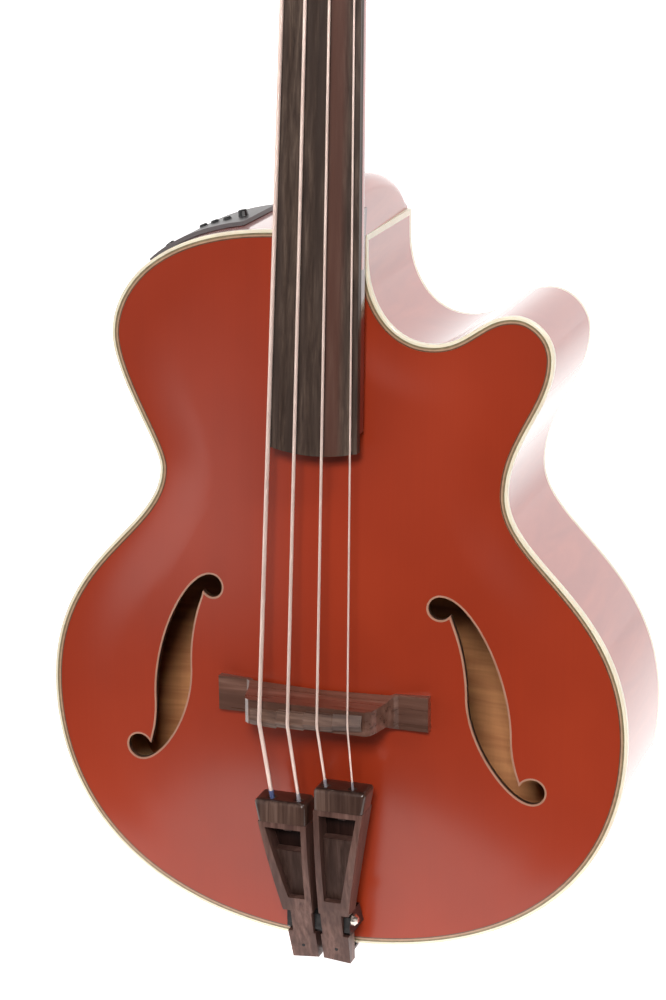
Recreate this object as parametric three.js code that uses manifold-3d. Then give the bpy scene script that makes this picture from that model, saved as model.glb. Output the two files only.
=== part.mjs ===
import * as THREE from 'three';
import { mergeVertices } from 'three/addons/utils/BufferGeometryUtils.js';
import Module from 'manifold-3d';

// An acoustic bass guitar: arched body with two f-holes and one rounded cutaway, fretless
// fingerboard, floating bridge, two-finger tailpiece, open-geared tuners and a preamp panel.
// Millimetres. x runs to the treble side, y from front to back and z up the neck. In the body's
// own frame y is 0 at the front binding and z is 0 at the bridge line.

// Clearances
const seat = 0.3;
const overrun = 5;
const weldDistance = 0.0001;

// Body outline, seen from the front
const bodyDepth = 90;
const tailEnd = -168.5;
const lowerBoutHalfWidth = 190.5;
const lowerBoutLevel = -12.5;
const waistHalfWidth = 113;
const waistLevel = 140.5;
const upperBoutHalfWidth = 143;
const upperBoutLevel = 224.5;
const shoulderLevel = 296;
const heelSeatHalfWidth = 24.3;
const hornHalfWidth = 141;
const hornSideLevel = 226.5;
const hornTipOffset = 117;
const hornTipLevel = 252;
const cutawayFloorOffset = 63.5;
const cutawayFloorLevel = 231.3;
const cutawayWallLevel = 281;
const tailCurveShares = [0.67, 0.55];
const flankCurveShares = [0.59, 0.28];
const waistToBoutShares = [0.17, 0.33];
const waistToHornShares = [0.4, 0.35];
const hornCurveShares = [0.6, 0.45];
const cutawayFloorShares = [0.42, 0.45];
const cutawayWallShares = [0.6, 0.55];
const shoulderCurveShares = [0.83, 0.3];
const outlineStep = 21;
const fewestSteps = 4;
const stepsPerCurve = 6;

// Plates, bindings and rim
const topArch = 20;
const backArch = 18;
const archCentreLevel = 40;
const archEaseWidth = 40;
const plateThickness = 3.8;
const bindingWidth = 1.8;
const purflingWidth = 2.9;
const purflingDepth = 1.4;
const rimThickness = 3.2;
const liningWidth = 6;
const liningDepth = 13;
const topRingShares = [0.26, 0.5, 0.73, 0.9];
const topInsideShares = [0.4, 0.8];
const backRingShares = [0.35, 0.65, 0.88];
const backInsideShares = [0.4, 0.8];
const heelStripWidth = 2.2;

// F-holes, given for the treble side
const upperEyeOffset = 74.8;
const upperEyeLevel = 69.4;
const upperEyeRadius = 7.9;
const lowerEyeOffset = 131;
const lowerEyeLevel = -48.6;
const lowerEyeRadius = 8.9;
const stemOuterOffset = 118.2;
const stemOuterLevel = -13;
const stemInnerOffset = 90.8;
const stemInnerLevel = 12;
const upperNotchOffset = 81.3;
const upperNotchLevel = 63.9;
const lowerNotchOffset = 123.6;
const lowerNotchLevel = -44.3;
const upperOuterShares = [0.45, 0.45];
const lowerOuterShares = [0.6, 0.05];
const lowerInnerShares = [0.4, 0.45];
const upperInnerShares = [0.6, 0.05];
const holeBindingWidth = 1.2;
const eyeSteps = 8;
const stemSteps = 6;

// Blocks and tone bars inside the body
const blockHalfWidth = 42;
const neckBlockDepth = 62;
const endBlockHalfWidth = 45;
const endBlockDepth = 22;
const toneBarTop = 165;
const toneBarBottom = -112;
const toneBarUpperOffset = 36;
const toneBarLowerOffset = 47;
const toneBarWidth = 8;
const toneBarDepth = 12;
const toneBarTipDepth = 4;
const toneBarRoot = 1.2;
const toneBarSteps = 9;

// Strings, lowest first
const scaleLength = 864;
const stringNames = ['e', 'a', 'd', 'g'];
const stringDiameters = [2.6, 2.1, 1.65, 1.15];
const windingLoops = [2, 2, 2, 2.5];
const windingPitchGap = 0.5;
const spreadAtNut = 32;
const spreadAtSaddle = 57;
const crownRadius = 190;
const boardCrownRadius = 300;
const stringSides = 6;
const loopSteps = 24;
const ballRadius = 2.3;
const ballLength = 4.5;
const ballTaper = 0.8;
const bendReach = 1.5;

// Bridge
const saddleCrest = 55.7;
const saddleHalfWidth = 36.3;
const saddleFoot = 49.1;
const saddleStepEase = 0.5;
const saddleTailFace = -3.4;
const saddleNeckFace = 7;
const saddleCrestLevel = 0.4;
const saddleNeckDrop = 2.6;
const saddleTailDrop = 2.2;
const saddleCompensation = 3.2;
const bridgeFootOuter = 69;
const bridgeFootInner = 50;
const bridgeFootTop = 18.7;
const bridgeFootTail = -10;
const bridgeFootNeck = 12.4;
const bridgeRidgeTail = -5.2;
const bridgeRidgeNeck = 10.4;
const bridgeRidgeHalfWidth = 38;
const bridgeFootRoot = 2;
const bridgeArchRise = 4;
const bridgeArchHalfWidth = 45;
const bridgeWaistHeight = 22;
const rampShares = [0.55, 0.5];
const rampSteps = 6;

// Neck, fingerboard and nut
const neckSlopeShare = 0.082;
const saddleOverBoard = 9.3;
const nutWidth = 39.5;
const nutLength = 5;
const nutSlotOverBoard = 0.5;
const nutCrestOverBoard = 2.3;
const boardLength = 694;
const boardEndWidth = 55.6;
const boardThickness = 6.5;
const boardEndBulge = 3.4;
const crownSteps = 6;
const shaftDepthAtNut = 15;
const shaftDepthAtHeel = 17.5;
const shaftSideDepth = 3;
const shaftArcSteps = 6;
const tongueThickness = 10;
const tongueClearance = 0.7;
const tongueInset = 1.2;
const tongueSetback = 12;
const tongueSteps = 6;
const heelReach = 34.5;
const heelBackHalfWidth = 22;
const heelLength = 89;
const heelRoot = 10;
const heelLevelShares = [0.02, 0.25, 0.48, 0.68, 0.82, 0.93, 1];
const heelCornerShare = 0.3;
const cornerSteps = 3;

// Headstock
const headAngle = THREE.MathUtils.degToRad(12);
const headDrop = 4.2;
const headThickness = 14;
const headplateThickness = 1.6;
const headLength = 192;
const headRootHalfWidth = 20;
const headShoulderHalfWidth = 37;
const headShoulderReach = 46;
const headTipHalfWidth = 41;
const headTipDip = 7;
const headTipCrown = 9;
const headRootShares = [0.45, 0.4];
const coverLength = 46;
const coverStart = 7;
const coverRootHalfWidth = 13;
const coverTipHalfWidth = 6;
const coverThickness = 1.5;
const coverShares = [0.5, 0.5];

// Tuners
const nearPostReach = 58;
const farPostReach = 134;
const nearPostOffset = 22;
const farPostOffset = 19.5;
const postRadius = 4.6;
const postRootRadius = 5;
const postTopRadius = 5.4;
const postHeight = 17;
const postTopHeight = 2.4;
const postRootHeight = 2.4;
const postSlotWidth = 3;
const postSlotDepth = 6;
const windingStart = 12.6;
const postClearance = 0.35;
const ferruleFlangeRadius = 8.6;
const ferruleWall = 1.3;
const ferruleFlangeHeight = 1.5;
const ferruleLength = 7;
const plateBackThickness = 1.8;
const tunerPlateHalfWidth = 12.5;
const tunerPlateTip = 12.5;
const tunerPlateMargin = 5.5;
const wheelTeeth = 20;
const wheelPitchRadius = 9.5;
const wheelThickness = 4.2;
const toothAddendum = 0.8;
const toothDedendum = 1.1;
const wormPitchRadius = 3.4;
const wormTurns = 2.5;
const wormSteps = 10;
const threadRootShare = 0.46;
const threadTipShare = 0.18;
const toothRootShare = 0.56;
const toothTipShare = 0.2;
const keyShaftRadius = 2.2;
const earThickness = 2.6;
const earMargin = 2.2;
const earReach = 8.6;
const keyReach = 27;
const buttonLength = 21;
const buttonWidth = 26;
const buttonThickness = 7.5;
const buttonBevel = 1.6;
const roundSides = 12;
const axleSides = 8;

// Tailpiece, given for the treble side
const bassFingerTop = -56.6;
const trebleFingerTop = -44.6;
const fingerBottom = -171.4;
const fingerBottomSlant = 2;
const fingerInnerTop = 2.6;
const fingerInnerBottom = 1.6;
const fingerOuterTop = 37.2;
const fingerOuterLow = 20.4;
const fingerOuterBottom = 19.3;
const fingerLowLevel = -141;
const fingerCrest = 45.8;
const fingerTailHeight = 23.6;
const fingerDepth = 20;
const fingerTailDepth = 9;
const fingerCurveSteps = 6;
const fingerCurveShare = 0.5;
const fingerCurveRiseShare = 0.02;
const holderLength = 14.4;
const holderRound = 1.5;
const windowFrame = 3.6;
const windowTopMargin = 4;
const windowBottom = -124.5;
const windowBottomInner = 6.2;
const windowBottomOuter = 19.2;
const panelTopDrop = 21;
const panelRecess = 7.5;
const pocketRecess = 14;
const stringHoleRadius = 2.9;
const stringHoleDepth = 9;
const stringHoleHeight = 39;
const outerHoleOffset = 26.6;
const innerHoleOffset = 8.9;

// Tailpiece bracket and rod, end pin
const rodHeight = 25.3;
const rodLevel = -139.5;
const rodRadius = 2.5;
const rodCapRadius = 3.9;
const rodCapLength = 4;
const lugFront = 29.6;
const lugTop = -134.5;
const lugBottom = -150;
const lugCorner = 2.5;
const lugClearance = 1.8;
const lugLegDepth = 5.8;
const strapHalfWidth = 14;
const outerLugInner = 17;
const outerLugOuter = 21;
const middleLugHalfWidth = 2.6;
const bracketThickness = 2;
const bracketHalfWidth = 16;
const bracketLength = 40;
const bracketCorner = 3;
const endPinDepth = 27;
const endPinRadius = 8.5;
const endPinFlangeRadius = 10.5;
const endPinFlangeLength = 3;
const endPinGripRadius = 6.6;
const endPinLength = 12;
const endPinBarrelRadius = 6;
const endPinBarrelLength = 34;
const jackRadius = 3.3;
const jackDepth = 30;

// Preamp panel on the upper bass rim
const panelFront = 18.8;
const panelBack = 79;
const panelPlateThickness = 2.6;
const panelInnerOffset = 61;
const panelOuterOffset = 122.5;
const panelSteps = 12;
const halvings = 20;
const knobDepth = 41;
const knobOffsets = [69, 79.5, 87.5, 95];
const volumeKnobRadius = 3.3;
const toneKnobRadius = 3;
const volumeKnobHeight = 4;
const toneKnobHeight = 1.6;
const buttonOffset = 117;
const pushRadius = 3.4;
const pushHeight = 1.8;
const pushTravel = 1;
const knobBevel = 0.6;
const knobGripDepth = 0.4;

const wasm = await Module();
wasm.setup();

const guitar = new THREE.Group();
const neckFrame = new THREE.Group();
const headFrame = new THREE.Group();

// Materials
function finish(colour, roughness, metalness = 0) {
  return new THREE.MeshStandardMaterial({ color: colour, roughness, metalness });
}

const redLacquer = finish(0x9e3a24, 0.18);
const creamPlastic = finish(0xf2e6c4, 0.35);
const purflingWood = finish(0xc49a74, 0.4);
const rosewood = finish(0x4a352c, 0.45);
const boardWood = finish(0x4b3830, 0.5);
const spruce = finish(0xd3ad78, 0.7);
const blackPlastic = finish(0x2a2829, 0.4);
const blackMetal = finish(0x1b1a1b, 0.3, 0.8);
const brass = finish(0xc59b55, 0.28, 1);
const chrome = finish(0xc9c9cc, 0.18, 1);
const stringMetal = finish(0xb9b2ac, 0.35, 0.9);
const bone = finish(0xe9e2cf, 0.4);

// Adds a named piece to a frame
function add(frame, name, geometry, material) {
  const mesh = new THREE.Mesh(geometry, material);
  mesh.name = name;
  frame.add(mesh);
}

// Builders for closed forms

function closedGeometry(points, triangles) {
  const geometry = new THREE.BufferGeometry();
  geometry.setAttribute('position', new THREE.Float32BufferAttribute(points.flatMap((p) => p.toArray()), 3));
  const volume = triangles.reduce((sum, [a, b, c]) => (
    sum + points[a].dot(new THREE.Vector3().crossVectors(points[b], points[c]))), 0);
  const outward = triangles.map(([a, b, c]) => (volume > 0 ? [a, b, c] : [a, c, b]));
  geometry.setIndex(outward.flat());
  geometry.computeVertexNormals();
  return geometry;
}

function meanPoint(loop) {
  return loop.reduce((sum, p) => sum.add(p), new THREE.Vector3()).divideScalar(loop.length);
}

// Joins loops of equally many points, one after the other. A ring joins its last loop to its
// first; otherwise both ends close on a centre point.
function loopsSolid(loops, { ring = false, firstCentre, lastCentre } = {}) {
  const count = loops[0].length;
  const points = loops.flat();
  const triangles = [];
  const bands = ring ? loops.length : loops.length - 1;
  for (let band = 0; band < bands; band += 1) {
    const from = band * count;
    const to = ((band + 1) % loops.length) * count;
    for (let i = 0; i < count; i += 1) {
      const next = (i + 1) % count;
      triangles.push([from + i, from + next, to + next], [from + i, to + next, to + i]);
    }
  }
  if (!ring) {
    const first = points.push(firstCentre ?? meanPoint(loops[0])) - 1;
    const last = points.push(lastCentre ?? meanPoint(loops.at(-1))) - 1;
    const lastLoop = (loops.length - 1) * count;
    for (let i = 0; i < count; i += 1) {
      const next = (i + 1) % count;
      triangles.push([first, next, i], [last, lastLoop + i, lastLoop + next]);
    }
  }
  return closedGeometry(points, triangles);
}

// Loops of plan points (x, z) lifted to the depth y that a number or a function gives
function lifted(plan, depth) {
  return plan.map((p) => new THREE.Vector3(p.x, typeof depth === 'function' ? depth(p.x, p.y) : depth, p.y));
}

function ringSolid(outer, inner, front, back) {
  return loopsSolid([lifted(outer, front), lifted(outer, back), lifted(inner, back), lifted(inner, front)],
    { ring: true });
}

// A strip between two open plan paths, square at both ends
function stripSolid(outer, inner, front, back) {
  const sections = outer.map((p, i) => [
    ...lifted([p], front), ...lifted([p], back), ...lifted([inner[i]], back), ...lifted([inner[i]], front)]);
  return loopsSolid(sections);
}

// A plan shape in x and z, drawn out from front to back
function planPrism(shape, front, back) {
  const geometry = new THREE.ExtrudeGeometry(shape, { depth: back - front, bevelEnabled: false });
  return geometry.rotateX(Math.PI / 2).translate(0, back, 0);
}

// A side profile in y and z, drawn out from one x to another
function sidePrism(shape, left, right) {
  const geometry = new THREE.ExtrudeGeometry(shape, { depth: right - left, bevelEnabled: false });
  const axes = new THREE.Matrix4().makeBasis(
    new THREE.Vector3(0, 1, 0), new THREE.Vector3(0, 0, 1), new THREE.Vector3(1, 0, 0));
  return geometry.applyMatrix4(axes).translate(left, 0, 0);
}

// A front profile in x and y, drawn out from one z to another
function frontPrism(shape, bottom, top) {
  const geometry = new THREE.ExtrudeGeometry(shape, { depth: top - bottom, bevelEnabled: false });
  return geometry.translate(0, 0, bottom);
}

function box(left, right, front, back, bottom, top) {
  return new THREE.BoxGeometry(right - left, back - front, top - bottom)
    .translate((left + right) / 2, (front + back) / 2, (bottom + top) / 2);
}

function rod(from, to, radius, sides = roundSides) {
  const along = new THREE.Vector3().subVectors(to, from);
  const length = along.length();
  const turn = new THREE.Quaternion().setFromUnitVectors(new THREE.Vector3(0, 1, 0), along.normalize());
  return new THREE.CylinderGeometry(radius, radius, length, sides)
    .translate(0, length / 2, 0).applyQuaternion(turn).translate(from.x, from.y, from.z);
}

// A turned form: the profile's points are (radius, reach) and reach runs along the axis
function turned(profile, axis, sides = roundSides) {
  const points = profile.map(([radius, reach]) => new THREE.Vector2(radius, reach));
  const turn = new THREE.Quaternion().setFromUnitVectors(new THREE.Vector3(0, 1, 0), axis);
  return new THREE.LatheGeometry(points, sides).applyQuaternion(turn);
}

function mirrored(geometry) {
  const points = [];
  const { position } = geometry.attributes;
  for (let i = 0; i < position.count; i += 1) {
    points.push(new THREE.Vector3(-position.getX(i), position.getY(i), position.getZ(i)));
  }
  const corners = geometry.index ? [...geometry.index.array] : points.map((p, i) => i);
  const triangles = [];
  for (let i = 0; i < corners.length; i += 3) triangles.push(corners.slice(i, i + 3));
  return closedGeometry(points, triangles);
}

// A tube of one radius per point, whose cross-sections turn as little as they can
function tubeAlong(points, radii, sides) {
  const loops = [];
  let across = new THREE.Vector3(1, 0, 0);
  points.forEach((point, i) => {
    const before = points[Math.max(i - 1, 0)];
    const after = points[Math.min(i + 1, points.length - 1)];
    const along = new THREE.Vector3().subVectors(after, before).normalize();
    across = across.clone().addScaledVector(along, -across.dot(along)).normalize();
    const up = new THREE.Vector3().crossVectors(along, across);
    loops.push(Array.from({ length: sides }, (none, k) => {
      const angle = 2 * Math.PI * k / sides;
      return point.clone().addScaledVector(across, radii[i] * Math.cos(angle))
        .addScaledVector(up, radii[i] * Math.sin(angle));
    }));
  });
  return loopsSolid(loops);
}

// Cuts and joins
function solid(geometry) {
  const bare = new THREE.BufferGeometry();
  bare.setAttribute('position', geometry.attributes.position);
  if (geometry.index) bare.setIndex(geometry.index);
  const welded = mergeVertices(bare, weldDistance);
  return new wasm.Manifold(new wasm.Mesh({
    numProp: 3,
    vertProperties: new Float32Array(welded.attributes.position.array),
    triVerts: new Uint32Array(welded.index.array),
  }));
}

function geometryOf(manifold) {
  const mesh = manifold.getMesh();
  const geometry = new THREE.BufferGeometry();
  geometry.setAttribute('position', new THREE.BufferAttribute(new Float32Array(mesh.vertProperties), 3));
  geometry.setIndex([...mesh.triVerts]);
  geometry.computeVertexNormals();
  return geometry;
}

function joined(first, ...others) {
  return geometryOf(others.reduce((sum, other) => sum.add(solid(other)), solid(first)));
}

function cut(first, ...tools) {
  return geometryOf(tools.reduce((rest, tool) => rest.subtract(solid(tool)), solid(first)));
}

function common(first, second) {
  return geometryOf(solid(first).intersect(solid(second)));
}

// Plan curves

// Adds a curve whose ends run along x or along z, by shares of the way to its end
function curveTo(shape, [x, z], [startShare, endShare], startsAlong) {
  const { x: fromX, y: fromZ } = shape.currentPoint;
  const endsAlong = startsAlong[1];
  const startX = startsAlong[0] === 'x' ? fromX + startShare * (x - fromX) : fromX;
  const startZ = startsAlong[0] === 'z' ? fromZ + startShare * (z - fromZ) : fromZ;
  const endX = endsAlong === 'x' ? x - endShare * (x - fromX) : x;
  const endZ = endsAlong === 'z' ? z - endShare * (z - fromZ) : z;
  shape.bezierCurveTo(startX, startZ, endX, endZ, x, z);
}

function bodyShape() {
  const shape = new THREE.Shape();
  shape.moveTo(0, tailEnd);
  curveTo(shape, [lowerBoutHalfWidth, lowerBoutLevel], tailCurveShares, 'xz');
  curveTo(shape, [waistHalfWidth, waistLevel], flankCurveShares, 'zz');
  curveTo(shape, [hornHalfWidth, hornSideLevel], waistToHornShares, 'zz');
  curveTo(shape, [hornTipOffset, hornTipLevel], hornCurveShares, 'zx');
  curveTo(shape, [cutawayFloorOffset, cutawayFloorLevel], cutawayFloorShares, 'xx');
  curveTo(shape, [heelSeatHalfWidth, cutawayWallLevel], cutawayWallShares, 'xz');
  shape.lineTo(heelSeatHalfWidth, shoulderLevel);
  shape.lineTo(-heelSeatHalfWidth, shoulderLevel);
  curveTo(shape, [-upperBoutHalfWidth, upperBoutLevel], shoulderCurveShares, 'xz');
  curveTo(shape, [-waistHalfWidth, waistLevel], [...waistToBoutShares].reverse(), 'zz');
  curveTo(shape, [-lowerBoutHalfWidth, lowerBoutLevel], [...flankCurveShares].reverse(), 'zz');
  curveTo(shape, [0, tailEnd], [...tailCurveShares].reverse(), 'zx');
  return shape;
}

function withoutRepeat(points) {
  return points.filter((p, i) => p.distanceTo(points[(i + 1) % points.length]) > weldDistance);
}

// Moves every point of a closed outline inward; its points run anticlockwise
function inset(points, distance) {
  return points.map((point, i) => {
    const before = points[(i + points.length - 1) % points.length];
    const after = points[(i + 1) % points.length];
    const into = new THREE.Vector2().subVectors(point, before).normalize();
    const out = new THREE.Vector2().subVectors(after, point).normalize();
    const normal = new THREE.Vector2(-into.y - out.y, into.x + out.x).normalize();
    const reach = distance / normal.dot(new THREE.Vector2(-into.y, into.x));
    return point.clone().addScaledVector(normal, reach);
  });
}

// Points of an outline, closer together where its curves are short
function outlinePoints(shape) {
  return withoutRepeat(shape.curves.flatMap((curve) => {
    const steps = Math.max(fewestSteps, Math.round(curve.getLength() / outlineStep));
    return curve.getSpacedPoints(curve.isLineCurve ? 1 : steps);
  }));
}

const edge = outlinePoints(bodyShape());
const bindingInside = inset(edge, bindingWidth);
const purflingInside = inset(edge, bindingWidth + purflingWidth);
const rimInside = inset(edge, rimThickness);
const liningInside = inset(edge, rimThickness + liningWidth);

function edgeDistance(x, z) {
  const point = new THREE.Vector3(x, z, 0);
  return edge.reduce((least, from, i) => {
    const to = edge[(i + 1) % edge.length];
    const side = new THREE.Line3(new THREE.Vector3(from.x, from.y, 0), new THREE.Vector3(to.x, to.y, 0));
    return Math.min(least, side.closestPointToPoint(point, true, new THREE.Vector3()).distanceTo(point));
  }, Infinity);
}

// The arch swells like a dome over an oval, eased down to the edge all round
function archShare(x, z) {
  const reach = z > archCentreLevel ? shoulderLevel - archCentreLevel : archCentreLevel - tailEnd;
  const oval = Math.hypot(x / lowerBoutHalfWidth, (z - archCentreLevel) / reach);
  const swell = Math.cos(Math.PI / 2 * Math.min(oval, 1)) ** 2;
  return swell * THREE.MathUtils.smoothstep(edgeDistance(x, z), 0, archEaseWidth);
}

const topFront = (x, z) => -topArch * archShare(x, z);
const topInside = (x, z) => topFront(x, z) + plateThickness;
const backOutside = (x, z) => bodyDepth + backArch * archShare(x, z);
const backInside = (x, z) => backOutside(x, z) - plateThickness;

function shrunk(share) {
  return edge.map((p) => new THREE.Vector2(p.x * share, archCentreLevel + (p.y - archCentreLevel) * share));
}

// Body
function holeOutline() {
  const shape = new THREE.Shape();
  const upperStart = Math.atan2(upperNotchLevel - upperEyeLevel, upperNotchOffset - upperEyeOffset);
  const lowerStart = Math.atan2(lowerNotchLevel - lowerEyeLevel, lowerNotchOffset - lowerEyeOffset);
  const upperEye = [];
  const lowerEye = [];
  const quarter = Math.PI / 2;
  for (let i = 0; i <= eyeSteps; i += 1) {
    const upper = upperStart - (upperStart + 3 * quarter) * i / eyeSteps;
    upperEye.push(new THREE.Vector2(
      upperEyeOffset + upperEyeRadius * Math.cos(upper), upperEyeLevel + upperEyeRadius * Math.sin(upper)));
    const lower = lowerStart - (lowerStart + quarter) * i / eyeSteps;
    lowerEye.push(new THREE.Vector2(
      lowerEyeOffset + lowerEyeRadius * Math.cos(lower), lowerEyeLevel + lowerEyeRadius * Math.sin(lower)));
  }
  shape.moveTo(upperEye[0].x, upperEye[0].y);
  upperEye.slice(1).forEach((p) => shape.lineTo(p.x, p.y));
  curveTo(shape, [stemOuterOffset, stemOuterLevel], upperOuterShares, 'xz');
  curveTo(shape, [lowerEye[0].x, lowerEye[0].y], lowerOuterShares, 'zz');
  lowerEye.slice(1).forEach((p) => shape.lineTo(p.x, p.y));
  curveTo(shape, [stemInnerOffset, stemInnerLevel], lowerInnerShares, 'xz');
  curveTo(shape, [upperEye[0].x, upperEye[0].y], upperInnerShares, 'zz');
  return withoutRepeat(shape.getPoints(stemSteps)).reverse();
}

function flipped(points) {
  return points.map((p) => new THREE.Vector2(-p.x, p.y)).reverse();
}

const trebleHole = holeOutline();
const holeSides = [
  { side: 'bass', line: flipped(trebleHole) },
  { side: 'treble', line: trebleHole },
];

function archedTop() {
  const outer = topRingShares.map((share) => lifted(shrunk(share), topFront));
  const inner = topInsideShares.map((share) => lifted(shrunk(share), topInside)).reverse();
  const ledge = [
    lifted(purflingInside, 0), lifted(purflingInside, purflingDepth),
    lifted(bindingInside, purflingDepth), lifted(bindingInside, plateThickness)];
  const plate = loopsSolid([...outer, ...ledge, ...inner], {
    firstCentre: new THREE.Vector3(0, -topArch, archCentreLevel),
    lastCentre: new THREE.Vector3(0, plateThickness - topArch, archCentreLevel),
  });
  const holes = holeSides.map(({ line }) => {
    const rim = new THREE.Shape(inset(line, -(holeBindingWidth + seat) / 2));
    return planPrism(rim, -topArch - overrun, plateThickness + overrun);
  });
  return cut(plate, ...holes);
}

function archedBack() {
  const outer = backRingShares.map((share) => lifted(shrunk(share), backOutside)).reverse();
  const inner = backInsideShares.map((share) => lifted(shrunk(share), backInside));
  const rim = [lifted(bindingInside, bodyDepth - plateThickness), lifted(bindingInside, bodyDepth)];
  return loopsSolid([...inner, ...rim, ...outer], {
    firstCentre: new THREE.Vector3(0, bodyDepth + backArch - plateThickness, archCentreLevel),
    lastCentre: new THREE.Vector3(0, bodyDepth + backArch, archCentreLevel),
  });
}

function holeBinding(line) {
  const half = holeBindingWidth / 2;
  return ringSolid(inset(line, -half), inset(line, half), topFront, topInside);
}

// The point of the edge where the treble rim stops below the strip at the heel
function rimHalves() {
  const corner = edge.findIndex((p) => p.y === shoulderLevel);
  const tail = edge.findIndex((p) => p.y === tailEnd);
  const stripBottom = shoulderLevel - heelStripWidth;
  const bassStart = heelSeatHalfWidth - heelStripWidth;
  const treble = [...edge.slice(tail, corner), new THREE.Vector2(heelSeatHalfWidth, stripBottom)];
  const trebleInside = [...rimInside.slice(tail, corner), new THREE.Vector2(bassStart, stripBottom)];
  const bass = [new THREE.Vector2(bassStart, shoulderLevel), ...edge.slice(corner + 1), edge[tail]];
  const bassInside = [new THREE.Vector2(bassStart - seat, shoulderLevel - rimThickness),
    ...rimInside.slice(corner + 1), rimInside[tail]];
  return { treble: [treble, trebleInside], bass: [bass, bassInside] };
}

function endPinBore() {
  const inner = tailEnd + endBlockDepth + rimThickness + overrun;
  return rod(new THREE.Vector3(0, endPinDepth, tailEnd - overrun),
    new THREE.Vector3(0, endPinDepth, inner), endPinBarrelRadius + seat);
}

function rimHalf([outer, inner]) {
  return cut(stripSolid(outer, inner, plateThickness, bodyDepth - plateThickness), endPinBore());
}

function heelStrip() {
  const left = heelSeatHalfWidth - heelStripWidth;
  return box(left + seat, heelSeatHalfWidth, plateThickness, bodyDepth - plateThickness,
    shoulderLevel - heelStripWidth + seat, shoulderLevel);
}

// Trims a piece to sit on the arched top, outside it or inside it
function seatedOnTop(geometry, shift) {
  return cut(geometry, archedTop().translate(0, shift, 0));
}

// A block inside the rim, let in between the linings
function rimBlock(halfWidth, bottom, top) {
  const blank = box(-halfWidth, halfWidth, 0, bodyDepth, bottom, top);
  const front = plateThickness + seat;
  const low = plateThickness + liningDepth + seat;
  const wide = new THREE.Shape(inset(edge, rimThickness + seat));
  const narrow = new THREE.Shape(inset(edge, rimThickness + liningWidth + seat));
  const full = planPrism(wide, low, bodyDepth - low);
  const letIn = planPrism(narrow, front, bodyDepth - front);
  return joined(common(blank, full), common(blank, letIn));
}

function toneBar(side) {
  const loops = [];
  for (let i = 0; i <= toneBarSteps; i += 1) {
    const share = i / toneBarSteps;
    const z = toneBarBottom + (toneBarTop - toneBarBottom) * share;
    const x = side * (toneBarLowerOffset + (toneBarUpperOffset - toneBarLowerOffset) * share);
    const depth = toneBarTipDepth + (toneBarDepth - toneBarTipDepth) * Math.sin(Math.PI * share);
    const left = x - toneBarWidth / 2;
    const right = x + toneBarWidth / 2;
    const top = topInside(x, z);
    loops.push([new THREE.Vector3(left, top - toneBarRoot, z), new THREE.Vector3(right, top - toneBarRoot, z),
      new THREE.Vector3(right, top + depth, z), new THREE.Vector3(left, top + depth, z)]);
  }
  return seatedOnTop(loopsSolid(loops), seat);
}

// A wedge-shaped strip round the inside of the rim, full width where a plate is glued to it
function lining(plateSide, thinSide) {
  const loops = [
    lifted(rimInside, plateSide), lifted(rimInside, thinSide), lifted(liningInside, plateSide)];
  return loopsSolid(loops, { ring: true });
}

function addBody() {
  const backEdge = bodyDepth - plateThickness;
  const halves = rimHalves();
  const endBlock = rimBlock(endBlockHalfWidth, tailEnd, tailEnd + endBlockDepth);
  add(guitar, 'arched_top', archedTop(), redLacquer);
  holeSides.forEach(({ side, line }) => (
    add(guitar, `f_hole_binding_${side}`, holeBinding(line), creamPlastic)));
  add(guitar, 'top_binding', ringSolid(edge, bindingInside, 0, plateThickness), creamPlastic);
  add(guitar, 'top_purfling', ringSolid(bindingInside, purflingInside, 0, purflingDepth), purflingWood);
  add(guitar, 'arched_back', archedBack(), redLacquer);
  add(guitar, 'back_binding', ringSolid(edge, bindingInside, backEdge, bodyDepth), creamPlastic);
  add(guitar, 'rim_bass', rimHalf(halves.bass), redLacquer);
  add(guitar, 'rim_treble', rimHalf(halves.treble), redLacquer);
  add(guitar, 'heel_strip', heelStrip(), creamPlastic);
  add(guitar, 'top_lining', lining(plateThickness, plateThickness + liningDepth), spruce);
  add(guitar, 'back_lining', lining(backEdge, backEdge - liningDepth), spruce);
  add(guitar, 'neck_block', rimBlock(blockHalfWidth, shoulderLevel - neckBlockDepth, shoulderLevel), spruce);
  add(guitar, 'end_block', cut(endBlock, endPinBore()), spruce);
  add(guitar, 'tone_bar_bass', toneBar(-1), spruce);
  add(guitar, 'tone_bar_treble', toneBar(1), spruce);
}

// Frames of the neck and of the headstock
const neckAngle = Math.atan(neckSlopeShare);
const saddlePoint = new THREE.Vector3(0, -saddleCrest, 0);
const neckTurn = new THREE.Matrix4().makeRotationX(-neckAngle);
const nutPoint = saddlePoint.clone().sub(
  new THREE.Vector3(0, -saddleOverBoard, -scaleLength).applyMatrix4(neckTurn));
const neckMatrix = neckTurn.clone().setPosition(nutPoint);
const headStart = nutLength + 3 * seat;
const headMatrix = neckMatrix.clone().multiply(
  new THREE.Matrix4().makeRotationX(-headAngle).setPosition(0, headDrop, headStart));

neckFrame.position.copy(nutPoint);
neckFrame.rotation.x = -neckAngle;
headFrame.position.set(0, headDrop, headStart);
headFrame.rotation.x = -headAngle;
neckFrame.add(headFrame);
guitar.add(neckFrame);

// The fingerboard's width, by the distance below the nut
function boardWidth(reach) {
  return nutWidth + (boardEndWidth - nutWidth) * reach / boardLength;
}

// How far a crown of a given radius falls away at a distance from its middle
function crownDrop(x, radius = boardCrownRadius) {
  return x * x / (2 * radius);
}

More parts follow.
